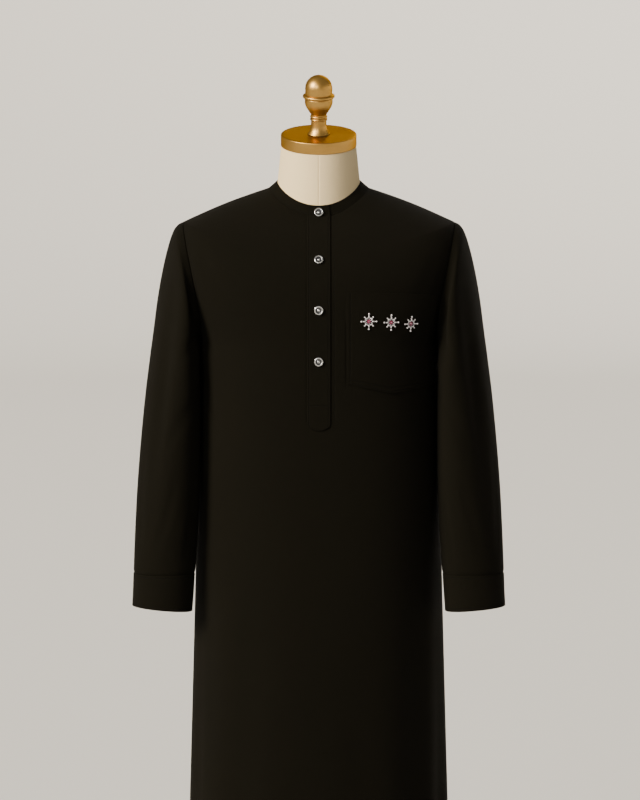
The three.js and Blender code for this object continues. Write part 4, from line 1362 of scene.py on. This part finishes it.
def addPocket():
    # A patch stitched along both sides and twice along its lower edge; its middle stands off a little
    rough = pocketSurface(*np.meshgrid(np.linspace(0, 1, 9), np.linspace(0, 1, 9)))[0]
    wide, tall = lengthsAlong(rough[4])[-1], lengthsAlong(rough[:, 4])[-1]
    inS, fine = pocket["stitchIn"] / wide, pocket["fine"]
    low, second = pocket["footStitch"] / tall, pocket["secondRow"] / tall
    across = withFine(np.linspace(0, 1, pocket["columns"]), (inS, 1 - inS), fine / wide, 7)
    upwards = withFine(np.linspace(0, 1, pocket["rows"]), (low, second), fine / tall, 7)
    s, t = np.meshgrid(across, upwards)
    seat, normal = pocketSurface(s, t)
    fromSide, fromFoot = np.minimum(s, 1 - s) * wide, t * tall
    rows = [fromSide - pocket["stitchIn"], fromFoot - pocket["footStitch"], fromFoot - pocket["secondRow"]]
    dip = np.max([groove(row, *pocket["stitchDip"]) for row in rows], axis=0)
    ease = pocket["ease"] * smooth(2, 30, fromSide) * smooth(4, 60, fromFoot)
    edge = groove(fromSide, *placket["edgeDrop"]) + groove(fromFoot, *placket["edgeDrop"])
    raised = cut["seamGap"] + pocket["thick"] - dip - np.minimum(edge, placket["edgeDrop"][0])
    outer = seat + normal * (raised + ease)[..., None]
    piece = addCloth("pocket", clothShell(outer, normal, raised - cut["seamGap"], roll=(0.1, 0.1, 0.1)))
    columns = [nearest(across, inS), nearest(across, 1 - inS)]
    rows = [nearest(upwards, low), nearest(upwards, second)]
    inner = slice(columns[0], columns[1] + 1)
    lines = [(outer[rows[0]:, column], normal[rows[0]:, column]) for column in columns]
    addStitching("pocket_stitching", lines + [(outer[row, inner], normal[row, inner]) for row in rows])
    return piece


pocketCloth = addPocket()
print("pocket")


# Three eight-pointed stars of beads on the pocket

cross, saltire = np.arange(4) * np.pi / 2, (np.arange(4) + 0.5) * np.pi / 2
stars = {
    # mm from the middle, height, and size beside the first
    "places": [(78, 1324, 1.0), (113, 1322, 0.98), (145, 1319, 0.95)],
    # A ring, four long arms and their tips, four short ones and their tips, a middle bead, and a petal
    # at each side of the short arms. Each row has its angles in radians, the radii that a bead goes
    # from and to, its half-width, whether it is round or long, and how far it is lifted.
    "beads": [
        (np.arange(8) * np.pi / 4 + np.pi / 8, 3.28, 4.52, 0.62, "round", 0.6),
        (cross, 4.8, 9.7, 1.05, "long", 0.6),
        (cross, 10.5, 13.5, 1.5, "round", 0.6),
        (saltire, 4.9, 8.3, 1.0, "long", 0.6),
        (saltire, 8.45, 10.75, 1.15, "round", 0.6),
        (np.zeros(1), -0.7, 0.7, 0.7, "round", 0.9),
        (saltire - 0.36, 4.6, 6.9, 0.62, "long", 0.6),
        (saltire + 0.36, 4.6, 6.9, 0.62, "long", 0.6),
    ],
    "threadStart": 0.5,
    "threadReach": (3.4, 2.9, 2.9),  # three by three round the middle
    "threads": (24, 0.36, 0.4),  # how many, half-width and lift
    "rays": (3.4, 6.8, 0.42, 0.3),
}


def starFrame(x, height):
    # The pocket's face at a point: its middle, the way to the right, the way up and the way out
    places, heights = chestHeights(x)
    point, out = frontAt(x, np.array(np.interp(height, heights, places)))
    middle = point + out * (cut["seamGap"] + pocket["thick"] + pocket["ease"])
    up = unit(np.array([0.0, 0, 1]) - out * out[2])
    return middle, np.cross(up, out), up, out


def beadsAlong(star, angles, starts, ends, width, shape, lift):
    # A long bead from one radius to another at each angle round the star
    middle, right, up, out = star
    spoke = np.cos(angles)[:, None] * right + np.sin(angles)[:, None] * up
    beside = -np.sin(angles)[:, None] * right + np.cos(angles)[:, None] * up
    starts, ends = (np.broadcast_to(radius, angles.shape)[:, None] for radius in (starts, ends))
    centres = middle + spoke * (starts + ends) / 2 + out * width * lift
    return placed(shape, centres, spoke * (ends - starts) / 2, beside * width, out * width)


def addStars():
    # The beads of each star, and two rings of satin stitches round its middle
    shapes = {"round": ball(7, 10), "long": ball(7, 10, 2.6)}
    beads, threads = [], []
    count, width, lift = stars["threads"]
    petals = np.arange(count) * 2 * np.pi / count
    reach = np.tile(stars["threadReach"], count // 3)
    rayStart, rayEnd, rayWidth, rayLift = stars["rays"]
    rays, slim = stars["beads"][0][0], shapes["long"]  # the rays lie at the ring's angles
    for x, height, size in stars["places"]:
        star = starFrame(x, height)
        for angles, start, end, half, kind, high in stars["beads"]:
            beads.append(beadsAlong(star, angles, start * size, end * size, half * size, shapes[kind], high))
        threads.append(beadsAlong(star, petals, stars["threadStart"], reach * size, width, slim, lift))
        threads.append(beadsAlong(star, rays, rayStart * size, rayEnd * size, rayWidth, slim, rayLift))
    addPiece("star_beads", joined(beads), pearlBead)
    addPiece("star_threads", joined(threads), pinkThread)


addStars()
print("stars")


# Dress form: torso and neck, cap, finial, pole and base

form = {
    "place": [0.5, 0.66, 0.82, 1.0, 1.4, 2.0, 3.0],
    "centre": [46, 30, 34, 16, 7, 6, 6],  # mm inside the cloth at the middle
    "seam": [44, 30, 36, 16, 6, 3, 3],  # mm inside the cloth at the seam
    "bottom": 0.5, "top": 2.7,
    "collarGap": 3.5, "neckGap": 0.6,
    "clear": 0.8,  # the skin lies this far inside its solid
    "rows": 76, "shoulderRows": 5, "collarRows": 7, "neckRows": 34, "columns": 36,
    "seamDip": (0.55, 0.7),
    "neckTop": 59.6,
    "sewing": {"length": 2.4, "gap": 0.5, "radius": 0.22, "sunk": 0.1},
    "sewingAt": (-1.5, 1.5),
}
cap = {
    "tilt": 13.5, "radius": 60.25, "thick": 18.4, "bevel": 1.6, "footRound": 0.8, "topY": -12, "topZ": 1614.3,
    "dish": 0.15, "flat": 6, "dishFrom": 14, "dishTo": 30,  # a rim, then a shallow dish
}
tilt = np.radians(cap["tilt"])
capAxis = np.array([0, -np.sin(tilt), np.cos(tilt)])
capBack = np.array([0, np.cos(tilt), np.sin(tilt)])
capTop = np.array([0, cap["topY"], cap["topZ"]])


def formColumns():
    # From side to side, close together at the middle, where the seam is, and missing the side seams
    even = (np.arange(2 * form["columns"]) + 0.5) / form["columns"] - 1
    near = np.array([0.004, 0.009, 0.016])
    return np.sort(np.concatenate([even, near, -near, [0.0]]))


def ringsBetween(start, stop, count):
    # Rings from one ring to another
    return start + (stop - start) * np.linspace(0, 1, count)[:, None, None]


def formHalf(side, across):
    # Rows of the body moved in, then lines to a ring in the collar's foot, to one at its upper edge,
    # and to a tilted circle under the cap
    share = shareOf(across)
    places = np.linspace(form["bottom"], form["top"], form["rows"])[:, None]
    inCentre, inSeam = (curveThrough(form["place"], form[key], places) for key in ("centre", "seam"))
    inside = inCentre + (inSeam - inCentre) * share**2 + form["clear"]
    torso = bodyPoint(side, places, share) - bodyNormal(side, places, across) * inside[..., None]
    level = np.broadcast_to(bodyAt("frontZ", places), torso[..., 2].shape)
    torso[..., 2] = np.where(places < 1, level, torso[..., 2])
    foot, edge = (point - normal * (cut["cloth"] + form[gap]) for (point, normal), gap in (
        (collarAt(side, across, 0.0), "collarGap"), (collarAt(side, across, 1.0), "neckGap")))
    top = capTop - capAxis * (cap["thick"] + cut["seamGap"]) + form["neckTop"] * (
        np.array([1, 0, 0]) * share[..., None] + capBack * side * np.sqrt(1 - share**2)[..., None])
    return np.concatenate([
        torso,
        ringsBetween(torso[-1:], foot, form["shoulderRows"])[1:],
        ringsBetween(foot, edge, form["collarRows"])[1:-1],
        ringsBetween(edge, top, form["neckRows"]),
    ])


def addForm():
    # The two halves as rings, with a seam down the middle of the front and back
    across = formColumns()[None, :]
    rings = np.concatenate([formHalf(front, across), formHalf(back, across[:, ::-1])], axis=1)
    inwards = unit((rings.mean(axis=1, keepdims=True) - rings) * np.array([1, 1, 0]))
    outer = rings + inwards * groove(np.abs(rings[..., 0]), *form["seamDip"])[..., None]
    skin = closedRings(outer, outer[0].mean(axis=0), outer[-1].mean(axis=0))
    addPiece("form_torso_fabric", skin, creamFabric, ["form_torso"])
    line = outer[1 - form["neckRows"]:-1, int(np.argmin(rings[-1, :, 1]))]
    ahead = np.array([0.0, -1, 0])
    rows = [stitches(line + np.array([offset, -0.05, 0]), np.tile(ahead, (len(line), 1)), form["sewing"])
            for offset in form["sewingAt"]]
    addPiece("form_stitching", joined(rows), creamThread)


def capOutline():
    # A disc with a bevelled upper edge
    radius, thick, bevel, foot = (cap[key] for key in ("radius", "thick", "bevel", "footRound"))
    low = thick - cap["dish"]
    return np.concatenate([
        [[0, 0]],
        arc(radius - foot, foot, foot, -90, 0, 5),
        arc(radius - bevel, thick - bevel, bevel, 0, 90, 8),
        [[radius - cap["flat"], thick], [radius - cap["dishFrom"], low], [cap["dishTo"], low], [0, low]],
    ])


finial = {
    "footRadius": 18, "stem": 12.4, "footEdge": 0.4, "footHeight": 17, "flare": 2.2,
    # radius, height, radius of the round, and the degrees it goes each way
    "beads": [(11.9, 23.9, 1.9, 75), (11.5, 28.4, 2.2, 70)],
    "bowlDrop": [0, 0.22, 0.45, 0.7, 1],
    "bowlRadius": [13.2, 16.6, 20.0, 22.0, 22.3],
    "bowlHeight": [33.2, 38.6, 44.2, 50.4, 57.6],
    "lip": (22.8, 61.4, 2.7, 80),
    "dome": 21.6, "domeFoot": 69, "domeCentre": 74,
}


def finialOutline():
    # A flared foot, a stem, two beads, a round bowl, a lip and a dome with upright sides
    t = np.linspace(0, 1, 12)
    radius, stem, edge = finial["footRadius"], finial["stem"], finial["footEdge"]
    flare = (1 - (1 - t) ** finial["flare"]) * (radius - stem)
    foot = np.stack([radius - flare, edge + t * finial["footHeight"]], axis=-1)
    t = np.linspace(0, 1, 18)
    bowl = [curveThrough(finial["bowlDrop"], finial[key], t) for key in ("bowlRadius", "bowlHeight")]
    beads = [arc(r, h, size, -way, way, 8) for r, h, size, way in finial["beads"]]
    r, h, size, way = finial["lip"]
    dome, centre = finial["dome"], finial["domeCentre"]
    return np.concatenate([
        [[0, 0], [radius - edge, 0]], foot, [[stem, 21.4]],
        *beads, [[12.1, 31.4]], np.stack(bowl, axis=-1), [[21.6, 58.6]],
        arc(r, h, size, -way, way, 12),
        [[dome - 0.1, 64.6], [dome, finial["domeFoot"]]],
        arc(0, centre, dome, 0, 86, 26),
        [[0, centre + dome]],
    ])


base = {"radius": 200, "height": 14, "edge": 4, "foot": 1, "flat": 30,
        "collarRadius": 30, "collarHeight": 12, "collarFoot": 3, "collarEdge": 2, "collarFlat": 18}
pole = {"radius": 16, "edge": 0.4}


def baseOutline():
    # A round foot with a softened edge and a raised collar
    radius, height, edge, foot, flat = (base[key] for key in ("radius", "height", "edge", "foot", "flat"))
    collarRadius, hollow, soft = base["collarRadius"], base["collarFoot"], base["collarEdge"]
    top = height + base["collarHeight"]
    return np.concatenate([
        [[0, 0]],
        arc(radius - foot, foot, foot, -90, 0, 4),
        arc(radius - edge, height - edge, edge, 0, 90, 10),
        [[radius - flat, height], [collarRadius + flat, height]],
        arc(collarRadius + hollow, height + hollow, hollow, 270, 180, 6),
        arc(collarRadius - soft, top - soft, soft, 0, 90, 6),
        [[base["collarFlat"], top], [0, top]],
    ])


def addBrass():
    # The cap and the finial on the cap's axis, and the base and the pole on the form's
    low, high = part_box("pole")
    length, radius, edge = (high.z - low.z) / mm, pole["radius"], pole["edge"]
    bar = np.array([[0, 0], [radius - edge, 0], [radius, edge], [radius, length / 2],
                    [radius, length - edge], [radius - edge, length], [0, length]])
    up, floor = np.array([0.0, 0, 1]), np.zeros(3)
    for node, outline, segments, origin, axis in (
        ("neck_cap", capOutline(), 128, capTop - capAxis * cap["thick"], capAxis),
        ("finial", finialOutline(), 96, capTop + capAxis * cut["seamGap"], capAxis),
        ("base", baseOutline(), 160, floor, up),
        ("pole", bar, 64, up * low.z / mm, up),
    ):
        metal = turnedPiece(outline, segments, origin, axis)
        addPiece(node + "_brass", metal, satinBrass, [node], sharp=45)


addForm()
addBrass()
print("dress form")
